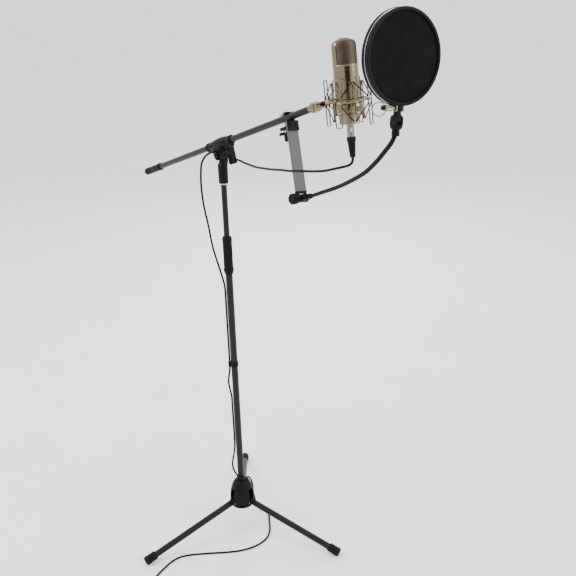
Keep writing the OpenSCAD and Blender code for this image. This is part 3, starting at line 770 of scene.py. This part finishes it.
def makeRearGrip(setup):
    # soft end grip: rounded cap, a run of rings and a lip at its mouth
    start, end = reachAlong("rear_grip", boomFrame)
    r, inner = setup["radius"], setup["radius"] - setup["depth"]
    outer = [(0, start), (6.4, start + 0.1), (8.6, start + 0.7), (9.9, start + 2.0), (r, start + 4)]
    for i in range(setup["rings"]):
        at = start + 10 + i * setup["pitch"]
        outer += [(r, at), (inner, at + 0.7), (inner, at + 1.8), (r, at + 2.5)]
    outer += [(10.2, end - 24), (9.9, end - 10), (9.9, end - 6), (10.9, end - 5.2), (11.1, end - 3.6),
              (11.1, end - 1.4), (10.6, end - 0.4), (8.1, end), (8.1, end - 5)]
    place(lathe("rearGripSleeve", outer, 64, at=alongX), boomFrame, "boom", "rubber", ["rear_grip"])


makeHubTrim(hubTrim)
makeFeet(foot)
makeClutchGrip(gripSleeve)
makeRearGrip(rearSleeve)
print("base, clutch and rear grip done")


tiltWing = {"reach": 24, "tipRadius": 8.0, "waist": 6.4, "near": 12.4, "far": 39.0, "turn": 14, "ribs": 8,
            "ribPitch": 1.75}


def makeTiltWing(setup):
    # butterfly wing with ribbed ends on a round boss, hollow behind
    reach, tip, near, far = setup["reach"], setup["tipRadius"], setup["near"], setup["far"]
    outline, waist = [], setup["waist"]
    for end in (1, -1):
        outline += circle(tip, 10, (0, end * reach), 260 - 90 * end, 100 - 90 * end)
        outline += [(end * waist, end * 8), (end * waist * 1.1, 0)]
    boss = [(4.1, 0), (9.2, 0), (9.8, 0.6), (9.8, 5), (8.6, 9.5), (8.0, 12), (7.6, 20), (7.0, 21.4),
            (0, 21.8)]
    parts = [slab("wing", outline, near + 8, far - 1, 1.6, 4),
             lathe("boss", boss, 48, at=shift(0, near, 0) @ alongY)]
    for end in (1, -1):
        for i in range(setup["ribs"]):
            x = (i - (setup["ribs"] - 1) / 2) * setup["ribPitch"]
            top = reach + math.sqrt(max(tip ** 2 - x * x, 0.1)) - 0.6
            low, high = sorted((end * (top - 9), end * top))
            parts.append(block("rib", (x - 0.5, near + 8.6, low), (x + 0.5, far, high), 0.35, 2))
    place(joined("tiltWingKnob", parts), tiltFrame @ spin(-setup["turn"], "Y"), "tilt_wing", "grip_plastic",
          ["tilt_knob"])


clampTrim = {"teeth": 36, "discRadius": 14.6, "face": -16}


def makeClampTrim(setup):
    # knurled washer face on the disc, screw heads along the slot and a parting bead round the barrel
    def toothed(angle, radius, height):
        return radius - (0.35 * (0.5 + 0.5 * math.cos(angle * setup["teeth"])) if radius > 12 else 0)

    r, face = setup["discRadius"], shift(0, setup["face"], 0) @ againstY
    disc = [(7.4, 0), (11.8, 0), (12.2, 0.5), (12.4, 1.5), (r - 0.5, 1.6), (r, 1.2), (r, -1.2), (7.4, -1.2)]
    place(lathe("washer", disc, 216, toothed, True, face), tiltFrame, "clamp", "clamp_plastic")
    screw = [(0, 1.2), (1.4, 1.2), (1.4, 2.2), (3.0, 2.2), (3.5, 1.7), (3.6, 0.6), (3.6, 0), (0, 0)]
    parts = [lathe("screw", screw, 32, at=shift(x, y, 0) @ againstY) for x,
             y in ((-30, -12.6), (24, -14.6))]
    place(joined("clampScrews", parts), boomFrame, "clamp", "clamp_plastic")
    cap = [(7.9, 0), (8.3, 0.6), (8.3, 3.2), (7.4, 4.6), (5, 5.2), (0, 5.4), (0, 4.4), (7.1, 4.2), (7.3, 0)]
    place(lathe("boltCap", cap, 48, closed=True, at=face), tiltFrame, "clamp", "clamp_plastic")
    rear = [(10.4, -63), (11.6, -63), (12.0, -62.2), (12.0, -60.6), (11.5, -60), (10.4, -60)]
    front = [(10.4, 48.4), (11.9, 48.6), (12.3, 49.4), (12.0, 50.4), (11.2, 50.9), (8.2, 50.9), (8.2, 48.4)]
    parts = [lathe("bead", bead, 72, closed=True, at=alongX) for bead in (rear, front)]
    place(joined("clampBeads", parts), boomFrame, "clamp", "clamp_plastic")


makeTiltWing(tiltWing)
makeClampTrim(clampTrim)
print("clamp done")


micSizes = {
    "grille": 25.5, "grilleLow": 60, "shoulder": 98, "shoulderRound": 12,
    "meshPitch": 1.9, "wire": 0.36, "strapTurn": 82, "strapHalf": 7.5,
    "base": 21.8, "baseLow": -58, "baseHigh": -33, "knurls": 90, "knurlSlope": 1.6,
}


def grilleLine(radius, setup):
    # outline of the grille: straight sides, round shoulder, shallow dome
    high, turn = setup["shoulder"], setup["shoulderRound"]
    line = [(radius, setup["grilleLow"]), (radius, high), *circle(turn, 6, (radius - turn, high), 10, 70),
            (radius - turn, 110.6), (8, 112.6), (1.2, 113.4)]
    return evenLine([Vector((x, y, 0)) for x, y in line], 1.0)


def makeGrille(setup):
    # woven wire: uprights and hoops pass over and under each other
    radius, wire = setup["grille"] - 0.5, setup["wire"]
    line = grilleLine(radius, setup)
    uprights = round(2 * math.pi * radius / setup["meshPitch"])
    hoopEvery = round(setup["meshPitch"])
    verts, faces = [], []

    def strand(points, closed):
        sides, start, count = 4, len(verts), len(points)
        for i, point in enumerate(points):
            before, after = points[i - 1], points[(i + 1) % count]
            if not closed:
                before, after = points[max(i - 1, 0)], points[min(i + 1, count - 1)]
            way = (after - before).normalized()
            out = (point - Vector((0, 0, point.z - 6))).normalized()
            out = (out - way * out.dot(way)).normalized()
            side = way.cross(out)
            for k in range(sides):
                angle = 2 * math.pi * (k + 0.5) / sides
                verts.append(point + wire * (math.cos(angle) * out + math.sin(angle) * side))
        for i in range(count if closed else count - 1):
            a, b = start + i * sides, start + ((i + 1) % count) * sides
            faces.extend((a + k, a + (k + 1) % sides, b + (k + 1) % sides, b + k) for k in range(sides))

    for u in range(uprights):
        angle = 2 * math.pi * u / uprights
        points = []
        for i, dot in enumerate(line):
            if i > len(line) - 12 and u % 2:
                break   # every other upright stops short on the dome
            weave = wire * 0.9 * math.cos(math.pi * i / hoopEvery + math.pi * u)
            r = dot.x + weave
            points.append(Vector((r * math.cos(angle), r * math.sin(angle), dot.y)))
        strand(points, False)
    for i in range(0, len(line) - 1, hoopEvery):
        dot, points = line[i], []
        around = uprights * 2 if dot.x > 8 else 48
        for k in range(around):
            angle = 2 * math.pi * k / around
            weave = -wire * 0.9 * math.cos(math.pi * i / hoopEvery + math.pi * k / 2) if dot.x > 8 else 0
            r = dot.x + weave
            points.append(Vector((r * math.cos(angle), r * math.sin(angle), dot.y)))
        strand(points, True)
    place(newObject("grilleMesh", verts, faces), micFrame, "mount", "grille", ["mic_grille"], 80)
    liner = [(dot.x - 1.3, dot.y) for dot in line[::3]] + [(0, 112.2)]
    place(lathe("grilleLiner", liner, 72), micFrame, "mount", "pop_fabric")


def makeHeadStraps(setup):
    # bright straps up both sides, and the band they spring from
    parts = []
    r, high, turn = setup["grille"] + 0.55, setup["shoulder"], setup["shoulderRound"]
    line = [(r, z) for z in range(setup["grilleLow"] + 1, high, 4)] + circle(turn, 7, (r - turn, high), 0,
                                                                             70)
    line = [Vector((x, 0, z)) for x, z in line]
    for side in (0, 180):
        verts, faces = [], []
        for i, point in enumerate(line):
            way = (line[min(i + 1, len(line) - 1)] - line[max(i - 1, 0)]).normalized()
            out = Vector((way.z, 0, -way.x))
            half = setup["strapHalf"] * (1 - 0.55 * max(0, (i - 9) / (len(line) - 9)) ** 2)
            for across, lift in ((-1, -0.55), (-0.92, 0.35), (-0.5, 0.62), (0, 0.7), (0.5, 0.62),
                                 (0.92, 0.35),
                                 (1, -0.55)):
                y = across * half
                bend = r - math.sqrt(max(r * r - y * y, 0))
                verts.append(point + out * lift - Vector((bend, 0, 0)) + Vector((0, y, 0)))
        for i in range(0, (len(line) - 1) * 7, 7):
            faces += [(i + k, i + k + 1, i + k + 8, i + k + 7) for k in range(6)]
            faces.append((i + 6, i, i + 7, i + 13))
        faces.append(tuple(range(7)))
        faces.append(tuple(reversed(range((len(line) - 1) * 7, len(line) * 7))))
        parts.append(moved(cleaned(newObject("strap", verts, faces)), spin(setup["strapTurn"] + side)))
    band = [(24.4, 58.6), (26.0, 58.6), (26.5, 59.2), (26.5, 61.4), (26.1, 62.0), (25.0, 62.0),
            (24.4, 61.4)]
    parts.append(lathe("band", band, 96, closed=True))
    place(joined("headStraps", parts), micFrame, "mount", "champagne", ["head_frame"])


def makeMicTrim(setup):
    # knurled foot of the body with a groove line, and two beads round the body
    low, high, r = setup["baseLow"], setup["baseHigh"], setup["base"]

    def knurled(angle, radius, height):
        if radius < 20 or not low + 3 < height < high - 5:
            return radius
        across, up = angle * setup["knurls"] / 2, height * setup["knurlSlope"]
        return radius - 0.35 * (0.5 + 0.5 * math.cos(across + up) * math.cos(across - up))

    profile = [(0, low), (8.5, low), (8.8, low + 0.4), (r - 2.2, low + 0.4), (r - 0.6, low + 1.0),
               (r, low + 2.2)]
    profile += [(r, low + 3 + (high - low - 8) * i / 32) for i in range(33)]
    profile += [(r, high - 4.5), (r - 0.8, high - 4), (r - 0.8, high - 3), (r, high - 2.4), (r, high),
                (0, high)]
    place(lathe("knurledFoot", profile, 360, knurled), micFrame, "mount", "mic_alloy", ["mic_base"])
    parts = []
    for z in (52, -8):
        line = [(25.6, z - 0.5), (26.12, z - 0.5), (26.3, z), (26.12, z + 0.5), (25.6, z + 0.5)]
        parts.append(lathe("bead", line, 96, closed=True))
    place(joined("bodyBeads", parts), micFrame, "mount", "champagne")


def roundedLoop(corners, radius, steps=6):
    # closed polyline with each corner turned on a small arc
    corners = [Vector(c) for c in corners]
    out = []
    for i, corner in enumerate(corners):
        start, end = (corner + (other - corner).normalized() * radius
                      for other in (corners[i - 1], corners[(i + 1) % len(corners)]))
        for t in (k / steps for k in range(steps + 1)):
            out.append(start * (1 - t) ** 2 + corner * 2 * t * (1 - t) + end * t * t)
    return out


cageSizes = {
    "turn": -25, "ring": 46, "loop": 14, "loopWire": 1.2,
    "outer": {"radius": 49.2, "half": 7, "low": -60, "high": 34, "round": 3.2, "wire": 1.35},
    "inner": {"radius": 31.6, "half": 5, "low": -50, "high": 27, "round": 2.8, "wire": 1.25},
}


def hairpins(pin, turn):
    # four closed loops of round wire, a quarter turn apart
    r, half, low, high = (pin[k] for k in ("radius", "half", "low", "high"))
    loop = roundedLoop([(r, -half, low), (r, half, low), (r, half, high), (r, -half, high)], pin["round"])
    return [moved(sweep("hairpin", loop, pin["wire"], 12, closed=True),
                  spin(turn + 90 * k)) for k in range(4)]


def makeCages(setup):
    # outer ring with four tall hairpins, inner cup with four more, all in round wire
    ring, loop, pin, turn = setup["ring"], setup["loop"], setup["outer"], setup["turn"]
    edge = [(1.2, -11), (2, -10.2), (2, -7.8), (1.2, -7), (-1.2, -7), (-2, -7.8), (-2, -10.2)]
    parts = [lathe("ring", [(ring + x, z) for x, z in edge], 128, closed=True), *hairpins(pin, turn + 45)]
    line = [Vector((0, y, z)) for y, z in circle(loop, 45, (loop, 0))]
    parts.append(moved(sweep("loop", line, setup["loopWire"], 12, closed=True),
                       spin(turn + 45) @ shift(pin["radius"], pin["half"], -33) @ spin(-55)))
    place(joined("outerCageWires", parts), micFrame, "mount", "champagne", ["outer_cage"])
    cup = [(22.1, -38), (30.2, -38), (31, -37.2), (31, -33), (30.6, -32.4), (31, -31.8), (31, -13.2),
           (30.2, -12.2), (27.4, -12), (26.4, -12.6), (26.4, -33.6), (22.1, -33.6)]
    parts = [lathe("cup", cup, 96, closed=True), *hairpins(setup["inner"], turn)]
    place(joined("innerCageWires", parts), micFrame, "mount", "champagne", ["inner_cage"])


def onCircle(angle, radius, along, z):
    # point at a radius from the axis, moved along the tangent there
    return (Vector((radius * math.cos(angle), radius * math.sin(angle), z))
            + Vector((-math.sin(angle), math.cos(angle), 0)) * along)


def makeElastic(setup):
    # doubled elastic cord laced from the inner hairpins out to the tops and feet of the outer ones
    parts = []
    inner = setup["inner"]
    for k in range(4):
        here = math.radians(setup["turn"] + 90 * k)
        for side in (-1, 1):
            there = here + math.radians(45 * side)
            for z, knot in ((inner["high"] - 1, -2), (inner["low"] + 1, -18)):
                start = onCircle(here, 33.4, 3.5 * side, z)
                end = onCircle(there, 48.0, -7 * side, knot)
                for lift in (-0.75, 0.75):
                    line = [start.lerp(end, t) + Vector((0, 0, lift)) for t in (0, 0.25, 0.5, 0.75, 1)]
                    parts.append(sweep("cord", line, 0.75, 10))
                parts.append(lathe("knot", [(0, -1.9), (1.5, -1.4), (2.1, 0), (1.5, 1.4), (0, 1.9)], 16,
                                   at=Matrix.Translation(start)))
                parts.append(lathe("knot", [(0, -2.1), (1.7, -1.5), (2.3, 0), (1.7, 1.5), (0, 2.1)], 16,
                                   at=Matrix.Translation(end)))
    place(joined("elasticCords", parts), micFrame, "mount", "elastic", ["suspension"])


mountKnobSizes = {"lobes": 10, "near": -10.4}


def makeMountKnob(setup):
    def lobed(angle, radius, height):
        return radius - (0.7 * (0.5 + 0.5 * math.cos(angle * setup["lobes"])) if radius > 6 else 0)

    profile = [(3, 0), (7.2, 0), (8, 0.8), (8, 9.6), (7.4, 10.8), (6.4, 11.4), (4.8, 11.6), (4.4, 10.9),
               (0, 10.9)]
    knob = lathe("mountThumbKnob", profile, 120, lobed, at=shift(0, setup["near"], 0) @ againstY)
    bolt = lathe("bolt", [(0, 0), (3, 0), (3, 24.4), (2.4, 25), (0, 25)], 32, at=shift(0, -14, 0) @ alongY)
    place(joined("mountThumbKnob", [knob, bolt]), swivelFrame, "mount_wing", "champagne", ["mount_knob"])


makeGrille(micSizes)
makeHeadStraps(micSizes)
makeMicTrim(micSizes)
makeBoot("micCableBoot", micFrame @ spin(180, "X"), "mount", 84, 127, 9.7, 6.2, ["cable_boot"])
makeCages(cageSizes)
makeElastic(cageSizes)
makeMountKnob(mountKnobSizes)
print("microphone and shock mount done")


barSizes = {"half": 15, "thick": 2.5, "low": -172.5, "high": -9.2, "pivot": -186, "cheek": 10}


def makeBar(setup):
    # flat bar with softened edges, dark fork at its foot
    low, pivot = setup["low"], setup["pivot"]
    t, half = setup["thick"], setup["half"]
    bar = block("accessoryBar", (-t, -half, low), (t, half, setup["high"]), 0.8)
    place(bar, barTop, "bar", "grey_bar", ["accessory_bar"])
    parts = []
    for near, far in ((-14, -8.2), (8.2, 14)):
        parts.append(slab("cheek", circle(setup["cheek"], 48, (0, pivot)), near, far, 0.9))
        parts.append(block("web", (-t - 0.7, near, pivot), (t + 0.7, far, low + 1.5), 0.6))
    parts.append(block("yoke", (-t - 0.9, -half - 0.4, low - 1.2), (t + 0.9, half + 0.4, low + 3), 0.8))
    parts.append(block("inlay", (-t - 0.5, -8, low - 3.3), (t + 0.5, 8, low), 0.4))
    pin = [(0, -27), (2.6, -27), (3, -26.4), (3, 14), (5.4, 14.1), (5.8, 14.6), (5.4, 16.2), (4, 16.8),
           (0, 16.8)]
    parts.append(lathe("pin", pin, 40, at=shift(0, 0, pivot) @ alongY))
    place(joined("barFork", parts), barTop, "bar", "clip_plastic")


barHook = {"left": -34, "right": -2.5, "top": 13.4, "armLow": -26, "armHigh": -19}


def makeBarHook(setup):
    # jaw over the boom with a bright strip on top, arm below, and the plate that the bar is riveted to
    left, right = setup["left"], setup["right"]
    parts = [
        block("jaw", (-16, -9, 8.5), (right, 14, setup["top"] - 1), 1.2),
        block("side", (left, 9.2, setup["armLow"]), (right, 14, setup["top"] - 0.4), 1.0),
        block("arm", (left, -10, setup["armLow"]), (right, 14, setup["armHigh"]), 1.6, 4),
        block("plate", (2.6, -16, -32), (6.4, 16, -9), 0.9),
        block("backPlate", (-6.2, -14, -28.4), (-2.6, 14, -18), 0.8),
    ]
    place(joined("barHook", parts), barTop, "bar", "clip_plastic", ["bar_clamp"])
    place(block("hookStrip", (left, -8.4, 8.6), (-15.4, 13, 11.2), 0.7), barTop, "bar", "zinc")
    rivets = [lathe("rivet", [(0, 0), (3, 0), (3, 0.5), (2.3, 1.2), (0, 1.6)], 32,
                    at=shift(6.2, y, -20.5) @ alongX)
              for y in (-9, 9)]
    place(joined("plateRivets", rivets), barTop, "bar", "clip_plastic")


clampScrew = {"at": -23, "pitch": 1.25, "flutes": 14, "turn": 200}


def makeClampScrew(setup):
    # bright threaded shaft with a pad, fluted knob and thumb wing
    def fluted(angle, radius, height):
        return radius - (0.45 * (0.5 + 0.5 * math.cos(angle * setup["flutes"])) if radius > 6 else 0)

    thread, z = [(0, -42), (2.6, -42)], -41.5
    while z < -14:
        thread += [(3.0, z), (2.6, z + setup["pitch"] / 2)]
        z += setup["pitch"]
    thread += [(2.8, -13), (4.6, -12), (5, -11.4), (5, -8.9), (4.6, -8.5), (0, -8.5)]
    spot = barTop @ Matrix.Translation((setup["at"], 0, 0))
    place(lathe("clampShaft", thread, 40), spot, "bar_screw", "zinc", ["clamp_screw"])
    knob = [(0, -52), (5.2, -52), (6.2, -51.3), (6.5, -50.2), (6.5, -36.4), (6.2, -35), (5, -34),
            (3.2, -33.6),
            (0, -33.6)]
    wing = block("wing", (-4.6, -2.7, -36), (19, 2.7, -29), 1.6, 4)
    parts = [lathe("knob", knob, 140, fluted), moved(wing, spin(setup["turn"]))]
    place(joined("clampKnob", parts), spot, "bar_screw", "grip_plastic")


neckKnob = {"lobes": 8, "lobeDepth": 1.5, "near": -31}


def makeNeckKnob(setup):
    def lobed(angle, radius, height):
        if radius < 10:
            return radius
        return radius - setup["lobeDepth"] * (0.5 + 0.5 * math.cos(angle * setup["lobes"])) ** 2

    profile = [(3.1, 16.7), (9.4, 16.7), (9.8, 14), (12.2, 13.6), (13, 12.8), (13, 2), (12.2, 0.7),
               (10.6, 0),
               (8, 0.3), (7.6, 1.2), (0, 1.2)]
    knob = lathe("neckKnob", profile, 160, lobed, at=shift(0, setup["near"], 0) @ alongY)
    place(knob, barFrame, "neck_wing", "grip_plastic", ["goose_knob"])


neckSizes = {
    "route": [
        (368, -26, 1178.4), (392, -32, 1188), (425, -44, 1202), (470, -60, 1221), (520, -76, 1243),
        (570, -91, 1268), (618, -104, 1295), (655, -114, 1323), (684, -121, 1350), (701, -124, 1368),
        (707.5, -123.4, 1381)],
    "radius": 4.5, "pitch": 2.4, "depth": 0.45, "stem": -104,
}


def makeNeck(setup):
    # close-wound steel hose: one bead every turn, with ferrules at both ends
    line = evenLine(smoothLine(setup["route"], 12), setup["pitch"] / 5)

    def beaded(distance):
        return setup["radius"] - setup["depth"] * (0.5 + 0.5 * math.cos(2 * math.pi * distance / setup["pitch"]))

    parts = [sweep("hose", line, beaded, 20)]
    first = (line[12] - line[0]).normalized()
    ferrule = [(0, -2), (5.6, -2), (6.2, -1.2), (6.2, 12), (5.9, 13.4), (4.7, 14), (0, 14)]
    parts.append(lathe("ferrule", ferrule, 48, at=Matrix.Translation(line[0]) @ turnTo(first)))
    place(joined("neckHose", parts), poleFrame, "neck", "neck_sleeve")
    stem = setup["stem"]
    bulb = [(0, -28.2), (6.4, -28.2), (7.2, -27.2), (7.2, -19.4), (6.6, -18.6), (6.8, -17.4), (8.6, -16.6),
            (10.6, -14.2), (11.2, -11.4), (10.6, -9.6), (9.2, -8.8), (0, -8.8)]
    parts = [lathe("bulb", bulb, 64, at=shift(0, 0, stem))]
    cheek = circle(8, 40, (0, stem), 0, 180) + [(-8, stem - 11), (8, stem - 11)]
    for side in (-1, 1):
        near, far = sorted((side * 5, side * 9))
        parts.append(slab("cheek", cheek, near, far, 1.0))
        parts.append(lathe("pinHead", [(0, 0), (4.2, 0), (4.2, 0.6), (3.4, 1.2), (0, 1.4)], 32,
                           at=shift(0, side * 8.8, stem) @ turnTo((0, side, 0))))
    parts.append(lathe("pin", [(0, -8.9), (2.95, -8.9), (2.95, 8.9), (0, 8.9)], 32,
                       at=shift(0, 0, stem) @ alongY))
    place(joined("neckSocket", parts), hoopFrame, "neck", "clip_plastic", ["gooseneck"])


popSizes = {"radius": 81, "wide": 6, "deep": 6, "lip": 1.4, "innerLip": 1.1, "faces": (-6, 6), "sag": 1.6,
            "rings": 22, "spokes": 96}


def makeHoops(setup):
    # two hoops with rounded lips, joined by six spacer studs
    r, t, half = setup["radius"], setup["deep"], setup["wide"] / 2
    lip, inner = setup["lip"], setup["innerLip"]
    profile = []
    for x, z, edge, start in ((r - lip, half - lip, lip, 0), (r - t + inner, half - inner, inner, 90),
                              (r - t + inner, inner - half, inner, 180), (r - lip, lip - half, lip, 270)):
        profile += circle(edge, 5, (x, z), start, start + 90)
    parts = [lathe("hoop", profile, 192, closed=True, at=shift(x, 0, 0) @ alongX) for x in setup["faces"]]
    parts += [lathe("stud", [(2.2, -4), (1.9, -2), (1.9, 2), (2.2, 4)], 20,
                    at=spin(a, "X") @ shift(0, 0, r - 3) @ alongX) for a in range(30, 360, 60)]
    place(joined("popHoops", parts), hoopFrame, "pop", "hoop_plastic", ["pop_hoops"])
    # bright zinc ring between the hoops: a painted highlight standing in for the light line along the hoops' edge
    highlightRing = [(78.4, -0.5), (79.9, -0.5), (80.2, -0.25), (80.2, 0.25), (79.9, 0.5), (78.4, 0.5)]
    place(lathe("hoopSeal", highlightRing, 192, closed=True, at=shift(-1.2, 0, 0) @ alongX), hoopFrame, "pop",
          "zinc")


popBracket = {"half": 7.5, "near": 5.1, "far": 9, "low": -90, "high": -75, "tongue": 7.3, "stem": -104}


def makePopBracket(setup):
    # metal fork on both sides of a dark tab that joins the hoops, with the swivel tongue below
    low, high, half, stem = setup["low"], setup["high"], setup["half"], setup["stem"]
    near, far = setup["near"], setup["far"]
    parts = [block("fork", (-half, y, low), (half, y + far - near, high), 1.0) for y in (-far, near)]
    place(joined("popBracketFork", parts), hoopFrame, "pop", "mic_alloy", ["pop_bracket"])
    outline = circle(setup["tongue"], 40, (0, stem), 180, 360)
    outline += [(5, low - 1), (5, low), (9, low), (9, high - 3), (-9, high - 3), (-9, low), (-5, low),
                (-5, low - 1)]
    place(slab("popTab", outline, -4.6, 4.6, 0.7), hoopFrame, "pop", "hoop_plastic")


def makePopMesh(setup):
    # two layers of stocking mesh drawn tight over the hoops, dished a little towards each other
    inner = setup["radius"] - setup["deep"] + 0.8
    for i, x in enumerate(setup["faces"]):
        side = 1 if x > 0 else -1
        verts = [Vector((0, 0, 0))]
        for ring in range(1, setup["rings"] + 1):
            for spoke in range(setup["spokes"]):
                angle, r = 2 * math.pi * spoke / setup["spokes"], inner * ring / setup["rings"]
                ripple = 0.12 * math.sin(angle * 7 + i) * (ring / setup["rings"]) ** 2
                verts.append(Vector((ripple, r * math.cos(angle), r * math.sin(angle))))
        for v in verts:
            fall = 1 - (v.y ** 2 + v.z ** 2) / inner ** 2
            v.x += x - side * setup["sag"] * fall
        n = setup["spokes"]
        faces = [(0, 1 + k, 1 + (k + 1) % n) for k in range(n)]
        for ring in range(setup["rings"] - 1):
            a, b = 1 + ring * n, 1 + (ring + 1) * n
            faces += [(a + k, b + k, b + (k + 1) % n, a + (k + 1) % n) for k in range(n)]
        mesh = newObject(f"popMesh{i + 1}", verts, faces)
        place(mesh, hoopFrame, "pop", "pop_fabric", ["pop_mesh"] if i == 0 else [])


popScrew = {"long": 20.7, "radius": 5.3, "flutes": 32, "near": -30, "height": -85}


def makePopScrew(setup):
    def knurled(angle, radius, height):
        if radius < 5 or not 1.5 < height < setup["long"] - 4:
            return radius
        return radius - 0.35 * (0.5 + 0.5 * math.cos(angle * setup["flutes"]))

    long, r = setup["long"], setup["radius"]
    end = shift(0, setup["near"], setup["height"]) @ alongY
    profile = [(0, long), (4.4, long), (5, long - 0.6), (r, long - 1.4), (r, long - 3), (4.6, long - 3.4),
               (4.6, long - 4.2), (r, long - 4.6)]
    profile += [(r, long - 4.7 - (long - 6.4) * i / 4) for i in range(5)]
    profile += [(5.2, 1.2), (4.8, 0.4), (4.2, 0), (0, 0)]
    stem = lathe("stem", [(0, -1), (2.5, -1), (2.5, 5.4), (2.1, 6), (0, 6)], 24,
                 at=shift(0, -9.4, setup["height"]) @ alongY)
    head = lathe("head", profile, 128, knurled, at=end)
    place(joined("popThumbScrew", [head, stem]), hoopFrame, "pop_wing", "mic_alloy", ["pop_screw"])
    cap = [(0, -5), (3.2, -5), (4.2, -4.4), (4.4, -3.6), (4.4, 0), (4, 0.3), (0, 0.3)]
    place(lathe("popScrewCap", cap, 40, at=end), hoopFrame, "pop_wing", "grip_plastic")


makeBar(barSizes)
makeBarHook(barHook)
makeClampScrew(clampScrew)
makeNeckKnob(neckKnob)
makeNeck(neckSizes)
makeHoops(popSizes)
makePopMesh(popSizes)
makePopBracket(popBracket)
makePopScrew(popScrew)
print("bar, neck and pop filter done")
